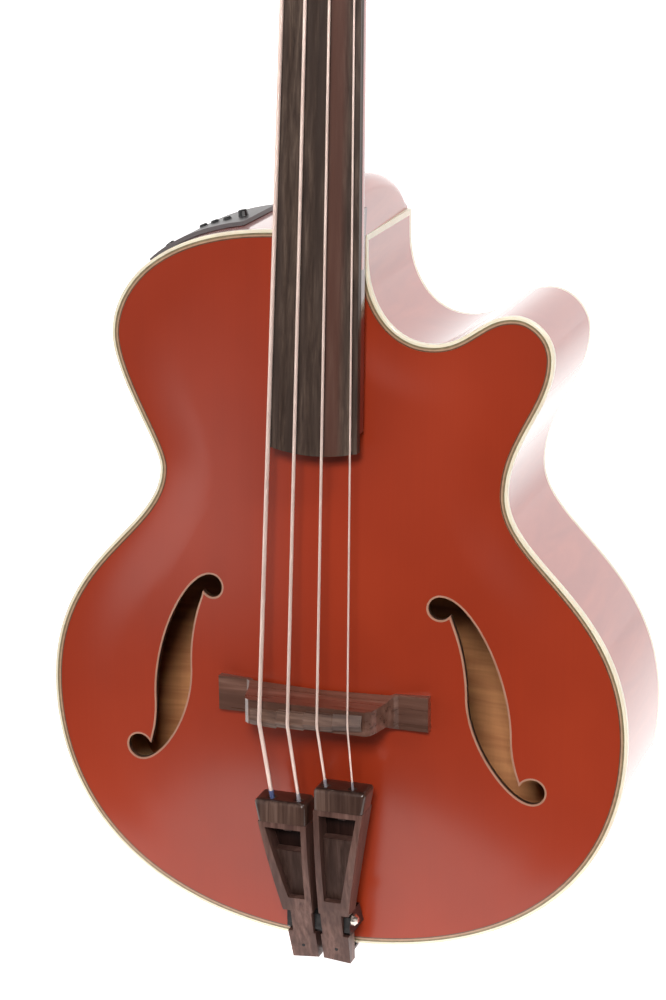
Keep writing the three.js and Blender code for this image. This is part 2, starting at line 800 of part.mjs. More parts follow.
function fingerboard() {
  const half = boardEndWidth / 2 + overrun;
  const profile = new THREE.Shape();
  profile.moveTo(-half, boardThickness);
  profile.lineTo(half, boardThickness);
  for (let i = 0; i <= crownSteps; i += 1) {
    const x = half - 2 * half * i / crownSteps;
    profile.lineTo(x, crownDrop(x));
  }
  const plan = new THREE.Shape();
  plan.moveTo(boardWidth(0) / 2, 0);
  plan.lineTo(-boardWidth(0) / 2, 0);
  plan.lineTo(-boardEndWidth / 2, -boardLength);
  plan.quadraticCurveTo(0, -boardLength - 2 * boardEndBulge, boardEndWidth / 2, -boardLength);
  plan.closePath();
  const outline = new THREE.Shape(withoutRepeat(plan.getPoints(crownSteps)));
  const end = -boardLength - boardEndBulge - overrun;
  return common(frontPrism(profile, end, overrun), planPrism(outline, -overrun, boardThickness + overrun));
}

function nut() {
  const half = nutWidth / 2;
  const profile = new THREE.Shape();
  profile.moveTo(-half, boardThickness);
  profile.lineTo(half, boardThickness);
  for (let i = 0; i <= crownSteps; i += 1) {
    const x = half - nutWidth * i / crownSteps;
    profile.lineTo(x, crownDrop(x) - nutCrestOverBoard);
  }
  const slots = stringNames.map((name, k) => {
    const reach = stringDiameters[k] / 2 + seat;
    const x = stringOffset(k, spreadAtNut);
    return box(x - reach, x + reach, -nutCrestOverBoard - overrun, crownDrop(x) - nutSlotOverBoard,
      -overrun, nutLength + overrun);
  });
  return cut(frontPrism(profile, seat, seat + nutLength), ...slots);
}

// Neck: shaft, heel, tongue under the fingerboard and headstock, all one piece of wood
function shaftSection(z, depth) {
  const half = boardWidth(-z) / 2;
  const top = boardThickness + seat;
  const section = [new THREE.Vector3(half, top, z)];
  for (let i = 0; i <= shaftArcSteps; i += 1) {
    const angle = Math.PI * i / shaftArcSteps;
    section.push(new THREE.Vector3(
      half * Math.cos(angle), top + shaftSideDepth + (depth - shaftSideDepth) * Math.sin(angle), z));
  }
  section.push(new THREE.Vector3(-half, top, z));
  return section;
}

const heelSeatReach = (nutPoint.z - shoulderLevel) / Math.cos(neckAngle);

function shaft() {
  const end = -heelSeatReach - heelReach / 2;
  return loopsSolid([
    shaftSection(headStart, shaftDepthAtNut),
    shaftSection(-heelSeatReach + 2 * heelReach, shaftDepthAtHeel),
    shaftSection(end, shaftDepthAtHeel),
  ]).applyMatrix4(neckMatrix);
}

function heelSection(y) {
  const half = heelSeatHalfWidth + (heelBackHalfWidth - heelSeatHalfWidth) * y / bodyDepth;
  const reach = heelReach * Math.sqrt(1 - (Math.max(y, 0) / bodyDepth) ** 2);
  const corner = Math.min(reach, heelReach * heelCornerShare);
  const bottom = shoulderLevel + seat;
  const top = bottom + reach;
  const section = [new THREE.Vector3(-half, y, bottom), new THREE.Vector3(half, y, bottom)];
  [1, -1].forEach((side) => {
    for (let i = 0; i <= cornerSteps; i += 1) {
      const angle = Math.PI / 2 * (side > 0 ? i / cornerSteps : 1 - i / cornerSteps);
      section.push(new THREE.Vector3(
        side * (half - corner * (1 - Math.cos(angle))), y, top - corner * (1 - Math.sin(angle))));
    }
  });
  return section;
}

function heel() {
  const levels = [-heelRoot, ...heelLevelShares.map((share) => share * heelLength)];
  return loopsSolid(levels.map(heelSection));
}

// Depth of a plane of the neck frame at a height of the body frame
function neckPlaneDepth(drop, z) {
  const reach = (z - nutPoint.z + drop * Math.sin(neckAngle)) / Math.cos(neckAngle);
  return nutPoint.y + drop * Math.cos(neckAngle) + reach * Math.sin(neckAngle);
}

function tongue() {
  const loops = [];
  const start = shoulderLevel + heelReach / 2;
  const end = nutPoint.z - boardLength + tongueSetback;
  for (let i = 0; i <= tongueSteps; i += 1) {
    const z = start + (end - start) * i / tongueSteps;
    const half = boardWidth(nutPoint.z - z) / 2 - tongueInset;
    const top = neckPlaneDepth(boardThickness + seat, z);
    const under = Math.min(topFront(0, z) - tongueClearance, top + tongueThickness);
    const bottom = z > shoulderLevel ? 0 : under;
    loops.push([new THREE.Vector3(-half, top, z), new THREE.Vector3(half, top, z),
      new THREE.Vector3(half, bottom, z), new THREE.Vector3(-half, bottom, z)]);
  }
  return loopsSolid(loops);
}

function headShape() {
  const shape = new THREE.Shape();
  shape.moveTo(headRootHalfWidth, 0);
  curveTo(shape, [headShoulderHalfWidth, headShoulderReach], headRootShares, 'zz');
  shape.lineTo(headTipHalfWidth, headLength - headTipCrown);
  const crown = headLength + headTipCrown;
  shape.quadraticCurveTo(headTipHalfWidth / 2, crown, 0, headLength - headTipDip);
  shape.quadraticCurveTo(-headTipHalfWidth / 2, crown, -headTipHalfWidth, headLength - headTipCrown);
  shape.lineTo(-headShoulderHalfWidth, headShoulderReach);
  curveTo(shape, [-headRootHalfWidth, 0], [...headRootShares].reverse(), 'zz');
  return new THREE.Shape(withoutRepeat(shape.getPoints(stepsPerCurve)));
}

const posts = [
  { name: 'e', side: -1, offset: nearPostOffset, reach: nearPostReach },
  { name: 'a', side: -1, offset: farPostOffset, reach: farPostReach },
  { name: 'd', side: 1, offset: farPostOffset, reach: farPostReach },
  { name: 'g', side: 1, offset: nearPostOffset, reach: nearPostReach },
];
const ferruleRadius = postRootRadius + seat + ferruleWall;
const headBack = headplateThickness + seat + headThickness;

function postBores() {
  return posts.map(({ side, offset, reach }) => rod(
    new THREE.Vector3(side * offset, -overrun, reach),
    new THREE.Vector3(side * offset, headBack + overrun, reach), ferruleRadius + seat));
}

function neck() {
  const blank = planPrism(headShape(), headplateThickness + seat, headBack);
  const head = cut(blank, ...postBores()).applyMatrix4(headMatrix);
  const block = joined(shaft(), heel(), tongue(), head);
  const bodyRoom = box(-lowerBoutHalfWidth, lowerBoutHalfWidth, -tongueClearance, bodyDepth + overrun,
    tailEnd, shoulderLevel + seat);
  const nutRoom = box(-nutWidth, nutWidth, -overrun, boardThickness + seat, -overrun, headStart)
    .applyMatrix4(neckMatrix);
  return cut(block, bodyRoom, nutRoom);
}

function headplate() {
  return cut(planPrism(headShape(), 0, headplateThickness), ...postBores());
}

function trussCover() {
  const shape = new THREE.Shape();
  shape.moveTo(coverRootHalfWidth, coverStart);
  curveTo(shape, [coverTipHalfWidth, coverStart + coverLength], coverShares, 'zz');
  shape.absarc(0, coverStart + coverLength, coverTipHalfWidth, 0, Math.PI);
  curveTo(shape, [-coverRootHalfWidth, coverStart], coverShares, 'zz');
  const outline = new THREE.Shape(withoutRepeat(shape.getPoints(stepsPerCurve)));
  return planPrism(outline, -seat - coverThickness, -seat);
}

function addNeck() {
  add(guitar, 'neck', neck(), redLacquer);
  add(neckFrame, 'fingerboard', fingerboard(), boardWood);
  add(neckFrame, 'nut', nut(), bone);
  add(headFrame, 'headplate', headplate(), rosewood);
  add(headFrame, 'truss_rod_cover', trussCover(), blackPlastic);
}

// Tuners, built about the post's axis where it meets the headstock's back, for the treble side
const wormDrop = wheelPitchRadius + wormPitchRadius;
const toothPitch = 2 * Math.PI * wheelPitchRadius / wheelTeeth;
const wormCoreRadius = wormPitchRadius - toothDedendum;
const wormHalfLength = toothPitch * wormTurns / 2;
const plateBack = seat + plateBackThickness;
const wheelMid = plateBack + seat + wormPitchRadius + toothAddendum;
const wheelFront = wheelMid - wheelThickness / 2;
const depthAxis = new THREE.Vector3(0, 1, 0);

function ferrule() {
  const bore = postRootRadius + seat;
  const face = -seat - ferruleFlangeHeight;
  return turned([
    [bore, face], [ferruleFlangeRadius - ferruleFlangeHeight, face], [ferruleFlangeRadius, -seat],
    [ferruleRadius, -seat], [ferruleRadius, ferruleLength], [bore, ferruleLength], [bore, face]], depthAxis);
}

// An ear that carries the key's shaft, between two distances from the post's axis
function ear(left, right) {
  const reach = keyShaftRadius + earMargin;
  return box(left, right, plateBack - seat, wheelMid + reach, -wormDrop - reach, -wormDrop + reach);
}

function tunerPlate() {
  const low = -wormDrop - tunerPlateMargin;
  const shape = new THREE.Shape();
  shape.moveTo(-tunerPlateHalfWidth, low);
  shape.lineTo(tunerPlateHalfWidth, low);
  shape.lineTo(tunerPlateHalfWidth, 0);
  shape.absarc(0, 0, tunerPlateTip, 0, Math.PI);
  shape.closePath();
  const plate = planPrism(new THREE.Shape(withoutRepeat(shape.getPoints(stepsPerCurve))), seat, plateBack);
  const earEnd = earReach + earThickness;
  const blank = joined(plate, ear(-earEnd, -earReach), ear(earReach, earEnd));
  const shaftBore = rod(new THREE.Vector3(-earEnd - overrun, wheelMid, -wormDrop),
    new THREE.Vector3(earEnd + overrun, wheelMid, -wormDrop), keyShaftRadius + seat);
  const postBore = rod(new THREE.Vector3(0, -overrun, 0),
    new THREE.Vector3(0, plateBack + seat / 2, 0), postRootRadius + seat);
  return cut(blank, shaftBore, postBore);
}

// Radius and angle share of one tooth's corners, starting in the middle of a gap
function wheelShape() {
  const root = wheelPitchRadius - toothDedendum;
  const tip = wheelPitchRadius + toothAddendum;
  const shape = [];
  for (let tooth = 0; tooth < wheelTeeth; tooth += 1) {
    const middle = 2 * Math.PI * (tooth + 1 / 2) / wheelTeeth - Math.PI / 2;
    const corners = [[root, -toothRootShare / 2], [tip, -toothTipShare / 2], [tip, toothTipShare / 2],
      [root, toothRootShare / 2]];
    corners.forEach(([radius, share]) => {
      const angle = middle + 2 * Math.PI * share / wheelTeeth;
      shape.push(new THREE.Vector2(radius * Math.cos(angle), radius * Math.sin(angle)));
    });
  }
  return new THREE.Shape(shape);
}

function post() {
  const faceReach = -headBack;
  const top = faceReach - postHeight;
  const barrel = turned([
    [0, top], [postTopRadius, top], [postTopRadius, top + postTopHeight / 2],
    [postRadius, top + postTopHeight], [postRadius, faceReach - postRootHeight],
    [postRootRadius, faceReach - postRootHeight + seat],
    [postRootRadius, wheelFront + seat], [0, wheelFront + seat]], depthAxis);
  const slot = box(-postSlotWidth / 2, postSlotWidth / 2, top - overrun, top + postSlotDepth,
    -postTopRadius - overrun, postTopRadius + overrun);
  return joined(cut(barrel, slot), planPrism(wheelShape(), wheelFront, wheelFront + wheelThickness));
}

// A right-handed thread about x, whose crest faces the wheel at x = 0
function wormThread() {
  const loops = [];
  const steps = wormTurns * wormSteps;
  for (let i = 0; i <= steps; i += 1) {
    const turns = i / wormSteps - wormTurns / 2;
    const angle = 2 * Math.PI * turns + Math.PI / 2;
    const x = toothPitch * turns;
    const corner = (radius, share) => new THREE.Vector3(
      x + share * toothPitch / 2, wheelMid + radius * Math.cos(angle), -wormDrop + radius * Math.sin(angle));
    const core = wormCoreRadius - seat;
    const tip = wormPitchRadius + toothAddendum;
    loops.push([corner(core, -threadRootShare), corner(core, threadRootShare),
      corner(tip, threadTipShare), corner(tip, -threadTipShare)]);
  }
  return loopsSolid(loops);
}

function key() {
  const along = (x) => new THREE.Vector3(x, wheelMid, -wormDrop);
  const inner = keyReach + buttonBevel;
  const earEnd = earReach + earThickness;
  const core = rod(along(-earReach + seat), along(earReach - seat), wormCoreRadius, axleSides);
  const axle = rod(along(-earEnd), along(inner), keyShaftRadius - seat, axleSides);
  const collar = rod(along(earEnd + seat), along(inner), keyShaftRadius + seat, axleSides);
  const shape = new THREE.Shape();
  const halfWidth = buttonWidth / 2 - buttonBevel;
  const halfLength = buttonLength / 2 - buttonBevel;
  shape.absellipse(keyReach + buttonLength / 2, -wormDrop, halfLength, halfWidth, 0, 2 * Math.PI);
  const button = new THREE.ExtrudeGeometry(shape, {
    depth: buttonThickness - 2 * buttonBevel,
    bevelThickness: buttonBevel,
    bevelSize: buttonBevel,
    bevelSegments: 1,
    curveSegments: roundSides / 2,
  }).rotateX(Math.PI / 2).translate(0, wheelMid + buttonThickness / 2 - buttonBevel, 0);
  return joined(core, wormThread(), axle, collar, button);
}

function addTuners() {
  posts.forEach(({ name, side, offset, reach }) => {
    const place = new THREE.Group();
    place.position.set(side * offset, headBack, reach);
    headFrame.add(place);
    const handed = (geometry) => (side > 0 ? geometry : mirrored(geometry));
    add(place, `tuner_ferrule_${name}`, handed(ferrule()).translate(0, -headBack, 0), chrome);
    add(place, `tuner_plate_${name}`, handed(tunerPlate()), blackMetal);
    add(place, `tuner_post_${name}`, handed(post()), brass);
    add(place, `tuner_key_${name}`, handed(key()), blackMetal);
  });
}

// Strings
function stringOffset(k, spread) {
  return spread * (k / (stringNames.length - 1) - 1 / 2);
}

function saddleTop(x) {
  return -saddleCrest + crownDrop(x, crownRadius);
}

function compensation(k) {
  return saddleCompensation * (k / (stringNames.length - 1) - 1 / 2);
}

function fingerTop(side) {
  return side > 0 ? trebleFingerTop : bassFingerTop;
}

// Where the string enters its holder, and the way it runs there
function holderMouth(k) {
  const side = k < stringNames.length / 2 ? -1 : 1;
  const outer = k === 0 || k === stringNames.length - 1;
  const offset = outer ? outerHoleOffset : innerHoleOffset;
  return new THREE.Vector3(side * offset, -stringHoleHeight, fingerTop(side));
}

function saddleCrossing(k) {
  const x = stringOffset(k, spreadAtSaddle);
  const depth = saddleTop(x) - stringDiameters[k] / 2 - seat;
  return new THREE.Vector3(x, depth, saddleCrestLevel + compensation(k));
}

function nutCrossing(k) {
  const x = stringOffset(k, spreadAtNut);
  const depth = crownDrop(x) - nutSlotOverBoard - stringDiameters[k] / 2 - seat;
  return new THREE.Vector3(x, depth, seat + nutLength / 2).applyMatrix4(neckMatrix);
}

// A sharp bend eased by two points beside it
function eased(before, bend, after) {
  const back = new THREE.Vector3().subVectors(before, bend).setLength(bendReach);
  const on = new THREE.Vector3().subVectors(after, bend).setLength(bendReach);
  return [bend.clone().add(back), bend.clone().add(on)];
}

// The winding on its post, in the headstock's frame, then carried to the body's frame
function winding(k) {
  const { side, offset, reach } = posts[k];
  const radius = postRadius + postClearance + stringDiameters[k] / 2;
  const pitch = stringDiameters[k] + windingPitchGap;
  const points = [];
  const steps = windingLoops[k] * loopSteps;
  for (let i = 0; i <= steps; i += 1) {
    const angle = 2 * Math.PI * i / loopSteps;
    points.push(new THREE.Vector3(
      side * (offset - radius * Math.cos(angle)), -windingStart + pitch * i / loopSteps,
      reach + radius * Math.sin(angle)));
  }
  const last = points.at(-1);
  const run = new THREE.Vector3().subVectors(last, points.at(-2)).setLength(stringDiameters[k]);
  points.push(last.clone().add(run));
  return points.map((p) => p.applyMatrix4(headMatrix));
}

// Least gap of a tube to itself, between points more than half a loop apart
function leastGap(points, diameter) {
  let least = Infinity;
  points.forEach((p, i) => {
    for (let j = i + loopSteps / 2; j < points.length; j += 1) {
      least = Math.min(least, p.distanceTo(points[j]));
    }
  });
  return least - diameter;
}

function stringTube(k) {
  const radius = stringDiameters[k] / 2;
  const mouth = holderMouth(k);
  const saddle = saddleCrossing(k);
  const nutAt = nutCrossing(k);
  const wound = winding(k);
  const inward = new THREE.Vector3().subVectors(mouth, saddle).normalize();
  const end = mouth.clone().addScaledVector(inward, stringHoleDepth - seat * 2);
  const ballTop = end.clone().addScaledVector(inward, -ballLength);
  const ballNeck = ballTop.clone().addScaledVector(inward, -ballTaper);
  const gap = leastGap(wound, 2 * radius).toFixed(2);
  console.log(`least gap in the winding of string ${stringNames[k]}: ${gap} mm`);
  const points = [end, ballTop, ballNeck, ...eased(ballNeck, saddle, nutAt),
    ...eased(saddle, nutAt, wound[0]), ...wound];
  const radii = points.map((p, i) => (i < 2 ? ballRadius : radius));
  return tubeAlong(points, radii, stringSides);
}

function addStrings() {
  stringNames.forEach((name, k) => add(guitar, `string_${name}`, stringTube(k), stringMetal));
}

// Bridge
function bridgeProfile() {
  const shape = new THREE.Shape();
  const footRoot = (x) => topFront(x, 0) + bridgeFootRoot;
  shape.moveTo(bridgeRidgeHalfWidth, seat - saddleFoot);
  shape.bezierCurveTo(
    bridgeRidgeHalfWidth + rampShares[0] * (bridgeFootInner - bridgeRidgeHalfWidth), seat - saddleFoot,
    bridgeFootInner - rampShares[1] * (bridgeFootInner - bridgeRidgeHalfWidth), -bridgeFootTop,
    bridgeFootInner, -bridgeFootTop);
  shape.lineTo(bridgeFootOuter, -bridgeFootTop);
  const half = withoutRepeat(shape.getPoints(rampSteps));
  const under = [
    new THREE.Vector2(bridgeFootOuter, footRoot(bridgeFootOuter)),
    new THREE.Vector2(bridgeFootInner, footRoot(bridgeFootInner)),
    new THREE.Vector2(bridgeArchHalfWidth, topFront(bridgeArchHalfWidth, 0) - bridgeArchRise),
    new THREE.Vector2(0, topFront(0, 0) - bridgeArchRise)];
  const treble = [...half, ...under];
  const bass = treble.slice(0, -1).map((p) => new THREE.Vector2(-p.x, p.y)).reverse();
  return new THREE.Shape([...treble, ...bass]);
}

function bridgeBase() {
  const side = new THREE.Shape();
  side.moveTo(overrun, bridgeFootTail);
  side.lineTo(overrun, bridgeFootNeck);
  side.lineTo(-bridgeFootTop, bridgeFootNeck);
  side.lineTo(-bridgeFootTop - bridgeWaistHeight / 2, bridgeRidgeNeck);
  side.lineTo(-saddleFoot - overrun, bridgeRidgeNeck);
  side.lineTo(-saddleFoot - overrun, bridgeRidgeTail);
  side.lineTo(-bridgeFootTop - bridgeWaistHeight / 2, bridgeRidgeTail);
  side.lineTo(-bridgeFootTop, bridgeFootTail);
  const sideBlank = sidePrism(side, -bridgeFootOuter - overrun, bridgeFootOuter + overrun);
  const blank = common(frontPrism(bridgeProfile(), bridgeFootTail, bridgeFootNeck), sideBlank);
  return seatedOnTop(blank, -seat);
}

function saddleSection(x, k) {
  const tail = saddleTailFace + compensation(k);
  const neckFace = saddleNeckFace + compensation(k);
  const crest = saddleTop(x);
  return [
    new THREE.Vector3(x, -saddleFoot, tail), new THREE.Vector3(x, -saddleFoot, neckFace),
    new THREE.Vector3(x, crest + saddleNeckDrop, neckFace),
    new THREE.Vector3(x, crest, saddleCrestLevel + compensation(k)),
    new THREE.Vector3(x, crest + saddleTailDrop, tail)];
}

// The saddle steps back and forth so that each string sounds in tune
function saddle() {
  const pitch = 2 * saddleHalfWidth / stringNames.length;
  return loopsSolid(stringNames.flatMap((name, k) => {
    const left = -saddleHalfWidth + k * pitch + (k > 0 ? saddleStepEase : 0);
    const right = -saddleHalfWidth + (k + 1) * pitch - (k < stringNames.length - 1 ? saddleStepEase : 0);
    return [left, stringOffset(k, spreadAtSaddle), right].map((x) => saddleSection(x, k));
  }));
}

function addBridge() {
  add(guitar, 'bridge_base', bridgeBase(), rosewood);
  add(guitar, 'bridge_saddle', saddle(), rosewood);
}

// Tailpiece
const webFront = -lugClearance - lugLegDepth;

function fingerCurve(crest, tailHeight, top) {
  const control = crest + (tailHeight - crest) * fingerCurveRiseShare;
  return new THREE.QuadraticBezierCurve(
    new THREE.Vector2(-crest, top),
    new THREE.Vector2(-control, top + (fingerBottom - top) * fingerCurveShare),
    new THREE.Vector2(-tailHeight, fingerBottom)).getPoints(fingerCurveSteps);
}

// A side profile between two curves that both run from the top to the tail
function bandProfile(front, back) {
  return new THREE.Shape([...front, ...[...back].reverse()]);
}

function fingerProfile(top) {
  const front = fingerCurve(fingerCrest, fingerTailHeight, top);
  const back = fingerCurve(fingerCrest - fingerDepth, fingerTailHeight - fingerTailDepth, top);
  return bandProfile(front, back);
}

function outerEdgeAt(z, top) {
  return fingerOuterTop + (fingerOuterLow - fingerOuterTop) * (top - z) / (top - fingerLowLevel);
}

function innerEdgeAt(z, top) {
  return fingerInnerTop + (fingerInnerBottom - fingerInnerTop) * (top - z) / (top - fingerBottom);
}

// The finger's blank below its holder, seen from the front, on the treble side
function fingerPlan(top, from) {
  return new THREE.Shape([
    new THREE.Vector2(innerEdgeAt(from, top), from),
    new THREE.Vector2(innerEdgeAt(fingerBottom, top), fingerBottom + fingerBottomSlant),
    new THREE.Vector2(fingerOuterBottom, fingerBottom),
    new THREE.Vector2(fingerOuterLow, fingerLowLevel),
    new THREE.Vector2(outerEdgeAt(from, top), from)]);
}

function windowPlan(top) {
  const windowTop = top - holderLength - windowTopMargin;
  return new THREE.Shape([
    new THREE.Vector2(innerEdgeAt(windowTop, top) + windowFrame, windowTop),
    new THREE.Vector2(windowBottomInner, windowBottom),
    new THREE.Vector2(windowBottomOuter - windowFrame / 2, windowBottom),
    new THREE.Vector2(outerEdgeAt(windowTop, top) - windowFrame, windowTop)]);
}

// What is carved out of a finger inside its window, down to a recess and between two levels
function carving(top, recess, bottom, upper) {
  const front = fingerCurve(fingerCrest + overrun, fingerTailHeight + overrun, top);
  const floor = fingerCurve(fingerCrest - recess, fingerTailHeight - recess / 2, top);
  const room = box(0, fingerOuterTop, -fingerCrest - overrun, 0, bottom, upper);
  const window = planPrism(windowPlan(top), -fingerCrest - overrun, 0);
  return common(common(sidePrism(bandProfile(front, floor), 0, fingerOuterTop), window), room);
}

// The window has a shallow panel below and a pocket for the string ends above it
function finger(side) {
  const top = fingerTop(side);
  const from = top - holderLength - seat;
  const panelTop = from - panelTopDrop;
  const front = -fingerCrest - overrun;
  const band = sidePrism(fingerProfile(top), 0, fingerOuterTop + overrun);
  const blank = common(band, planPrism(fingerPlan(top, from), front, 0));
  const panel = carving(top, panelRecess, windowBottom - windowFrame, panelTop + seat);
  const pocket = carving(top, pocketRecess, panelTop, top);
  const rodBore = rod(new THREE.Vector3(-overrun, -rodHeight, rodLevel),
    new THREE.Vector3(fingerOuterLow + overrun, -rodHeight, rodLevel), rodRadius + seat);
  const notch = (from, to) => box(from, to, front, 0, lugBottom - seat, lugTop + seat);
  const notches = [notch(-overrun, middleLugHalfWidth + seat), notch(outerLugInner - seat, fingerOuterTop)];
  const made = cut(blank, panel, pocket, rodBore, ...notches);
  return side > 0 ? made : mirrored(made);
}

// The bore in which a string's ball end sits
function stringBore(k) {
  const mouth = holderMouth(k);
  const way = new THREE.Vector3().subVectors(mouth, saddleCrossing(k)).normalize();
  const from = mouth.clone().addScaledVector(way, -overrun);
  return rod(from, mouth.clone().addScaledVector(way, stringHoleDepth), stringHoleRadius);
}

function holder(side) {
  const top = fingerTop(side);
  const bottom = top - holderLength;
  const low = -fingerCrest + fingerDepth;
  const profile = new THREE.Shape();
  profile.moveTo(low, bottom);
  profile.lineTo(-fingerCrest, bottom);
  profile.lineTo(-fingerCrest, top - holderRound);
  profile.quadraticCurveTo(-fingerCrest, top, -fingerCrest + holderRound, top);
  profile.lineTo(low - holderRound, top);
  profile.quadraticCurveTo(low, top, low, top - holderRound);
  const smooth = new THREE.Shape(withoutRepeat(profile.getPoints(cornerSteps)));
  const plan = new THREE.Shape([
    new THREE.Vector2(fingerInnerTop, top), new THREE.Vector2(innerEdgeAt(bottom, top), bottom),
    new THREE.Vector2(outerEdgeAt(bottom, top), bottom), new THREE.Vector2(fingerOuterTop, top)]);
  const blank = sidePrism(smooth, 0, fingerOuterTop + overrun);
  const block = common(blank, planPrism(plan, -fingerCrest - overrun, 0));
  const strings = stringNames.map((name, k) => k).filter((k) => Math.sign(holderMouth(k).x) === side);
  return cut(side > 0 ? block : mirrored(block), ...strings.map(stringBore));
}

// One lug, from the web behind the fingers forward round the rod
function lug(left, right) {
  return sidePrism(new THREE.Shape([
    new THREE.Vector2(-lugClearance, lugBottom), new THREE.Vector2(webFront - lugCorner, lugTop),
    new THREE.Vector2(-lugFront + lugCorner, lugTop), new THREE.Vector2(-lugFront, lugTop - lugCorner),
    new THREE.Vector2(-lugFront, lugBottom + lugCorner),
    new THREE.Vector2(-lugFront + lugCorner, lugBottom)]), left, right);
}

// A bent strap: a foot plate under the tail, a strap over the edge and a web with three lugs
function bracket() {
  const back = tailEnd - seat;
  const plate = new THREE.Shape([
    new THREE.Vector2(-bracketHalfWidth, webFront), new THREE.Vector2(bracketHalfWidth, webFront),
    new THREE.Vector2(bracketHalfWidth - bracketCorner, bracketLength),
    new THREE.Vector2(-bracketHalfWidth + bracketCorner, bracketLength)]);
  const footPlate = frontPrism(plate, back - bracketThickness, back);
  const strap = sidePrism(new THREE.Shape([
    new THREE.Vector2(webFront, back - bracketThickness), new THREE.Vector2(-lugClearance, back),
    new THREE.Vector2(-lugClearance, lugBottom + seat), new THREE.Vector2(webFront, lugBottom + seat)]),
  -strapHalfWidth, strapHalfWidth);
  const web = sidePrism(new THREE.Shape([
    new THREE.Vector2(webFront, lugBottom), new THREE.Vector2(-lugClearance, lugBottom),
    new THREE.Vector2(webFront - lugCorner, lugTop), new THREE.Vector2(webFront - 2 * lugCorner, lugTop)]),
  -outerLugOuter, outerLugOuter);
  const lugs = [lug(-outerLugOuter, -outerLugInner), lug(-middleLugHalfWidth, middleLugHalfWidth),
    lug(outerLugInner, outerLugOuter)];
  const rodBore = rod(new THREE.Vector3(-bridgeFootOuter, -rodHeight, rodLevel),
    new THREE.Vector3(bridgeFootOuter, -rodHeight, rodLevel), rodRadius + seat);
  const pinBore = rod(new THREE.Vector3(0, endPinDepth, back - bracketThickness - overrun),
    new THREE.Vector3(0, endPinDepth, back + overrun), endPinBarrelRadius + seat);
  return cut(joined(footPlate, strap, web, ...lugs), rodBore, pinBore);
}

// The rod is flush on the bass side and has its cap on the treble side
function hingeRod() {
  const end = outerLugOuter + seat;
  const profile = [[0, -outerLugOuter], [rodRadius, -outerLugOuter], [rodRadius, end], [rodCapRadius, end],
    [rodCapRadius, end + rodCapLength / 2], [rodCapRadius / 2, end + rodCapLength], [0, end + rodCapLength]];
  return turned(profile, new THREE.Vector3(1, 0, 0)).translate(0, -rodHeight, rodLevel);
}

function endPin() {
  const flange = tailEnd - 2 * seat - bracketThickness;
  const tip = flange - endPinLength;
  const inner = flange + endPinBarrelLength;
  const profile = [[jackRadius, tip], [endPinRadius, tip], [endPinRadius, tip + endPinFlangeLength],
    [endPinGripRadius, tip + 2 * endPinFlangeLength], [endPinGripRadius, flange - endPinFlangeLength],
    [endPinFlangeRadius, flange - endPinFlangeLength / 2], [endPinFlangeRadius, flange],
    [endPinBarrelRadius, flange], [endPinBarrelRadius, inner], [0, inner],
    [0, tip + jackDepth], [jackRadius, tip + jackDepth], [jackRadius, tip]];
  return turned(profile, new THREE.Vector3(0, 0, 1)).translate(0, endPinDepth, 0);
}

function addTailpiece() {
  add(guitar, 'tail_finger_bass', finger(-1), rosewood);
  add(guitar, 'tail_finger_treble', finger(1), rosewood);
  add(guitar, 'string_holder_bass', holder(-1), rosewood);
  add(guitar, 'string_holder_treble', holder(1), rosewood);
  add(guitar, 'tail_bracket', bracket(), blackMetal);
  add(guitar, 'tail_hinge_rod', hingeRod(), brass);
  add(guitar, 'end_pin', endPin(), chrome);
}

// Preamp panel and its knobs, on the curve of the bass shoulder
function shoulderCurve() {
  const end = new THREE.Vector2(-upperBoutHalfWidth, upperBoutLevel);
  return bodyShape().curves.find((curve) => curve.v3?.equals(end));
}

// The share of the curve at a distance from the centre line, found by halving
function shoulderShareAt(offset) {
  const curve = shoulderCurve();
  let low = 0;
  let high = 1;
  for (let i = 0; i < halvings; i += 1) {
    const middle = (low + high) / 2;
    if (-curve.getPoint(middle).x < offset) low = middle;
    else high = middle;
  }
  return low;
}

function shoulderPoint(share, distance) {
  const curve = shoulderCurve();
  const way = curve.getTangent(share);
  return curve.getPoint(share).addScaledVector(new THREE.Vector2(way.y, -way.x), distance);
}

// The way straight out of the rim at a share of the shoulder's curve
function shoulderOutward(share) {
  const outward = shoulderPoint(share, overrun).sub(shoulderPoint(share, 0)).normalize();
  return new THREE.Vector3(outward.x, 0, outward.y);
}

// A round piece on the panel: its profile starts at a height over the rim
function onPanel(profile, offset, height) {
  const share = shoulderShareAt(offset);
  const foot = shoulderPoint(share, height);
  return turned(profile, shoulderOutward(share)).translate(foot.x, knobDepth, foot.y);
}

function preampPanel() {
  const outer = [];
  const inner = [];
  const start = shoulderShareAt(panelInnerOffset);
  const end = shoulderShareAt(panelOuterOffset);
  for (let i = 0; i <= panelSteps; i += 1) {
    const share = start + (end - start) * i / panelSteps;
    inner.push(shoulderPoint(share, seat));
    outer.push(shoulderPoint(share, seat + panelPlateThickness));
  }
  const well = onPanel([[0, 0], [pushRadius + seat, 0], [pushRadius + seat, overrun], [0, overrun]],
    buttonOffset, seat + panelPlateThickness - pushTravel - 2 * seat);
  return cut(stripSolid(outer, inner, panelFront, panelBack), well);
}

function knob(radius, height, offset) {
  const grip = radius - knobGripDepth;
  return onPanel([[0, 0], [radius, 0], [grip, height - knobBevel], [grip - knobBevel, height], [0, height]],
    offset, 2 * seat + panelPlateThickness);
}

// The push button stands in a shallow well of the panel
function pushButton() {
  const height = pushHeight + seat;
  const profile = [[0, 0], [pushRadius, 0], [pushRadius, height - knobBevel],
    [pushRadius - knobBevel, height], [0, height]];
  return onPanel(profile, buttonOffset, panelPlateThickness);
}

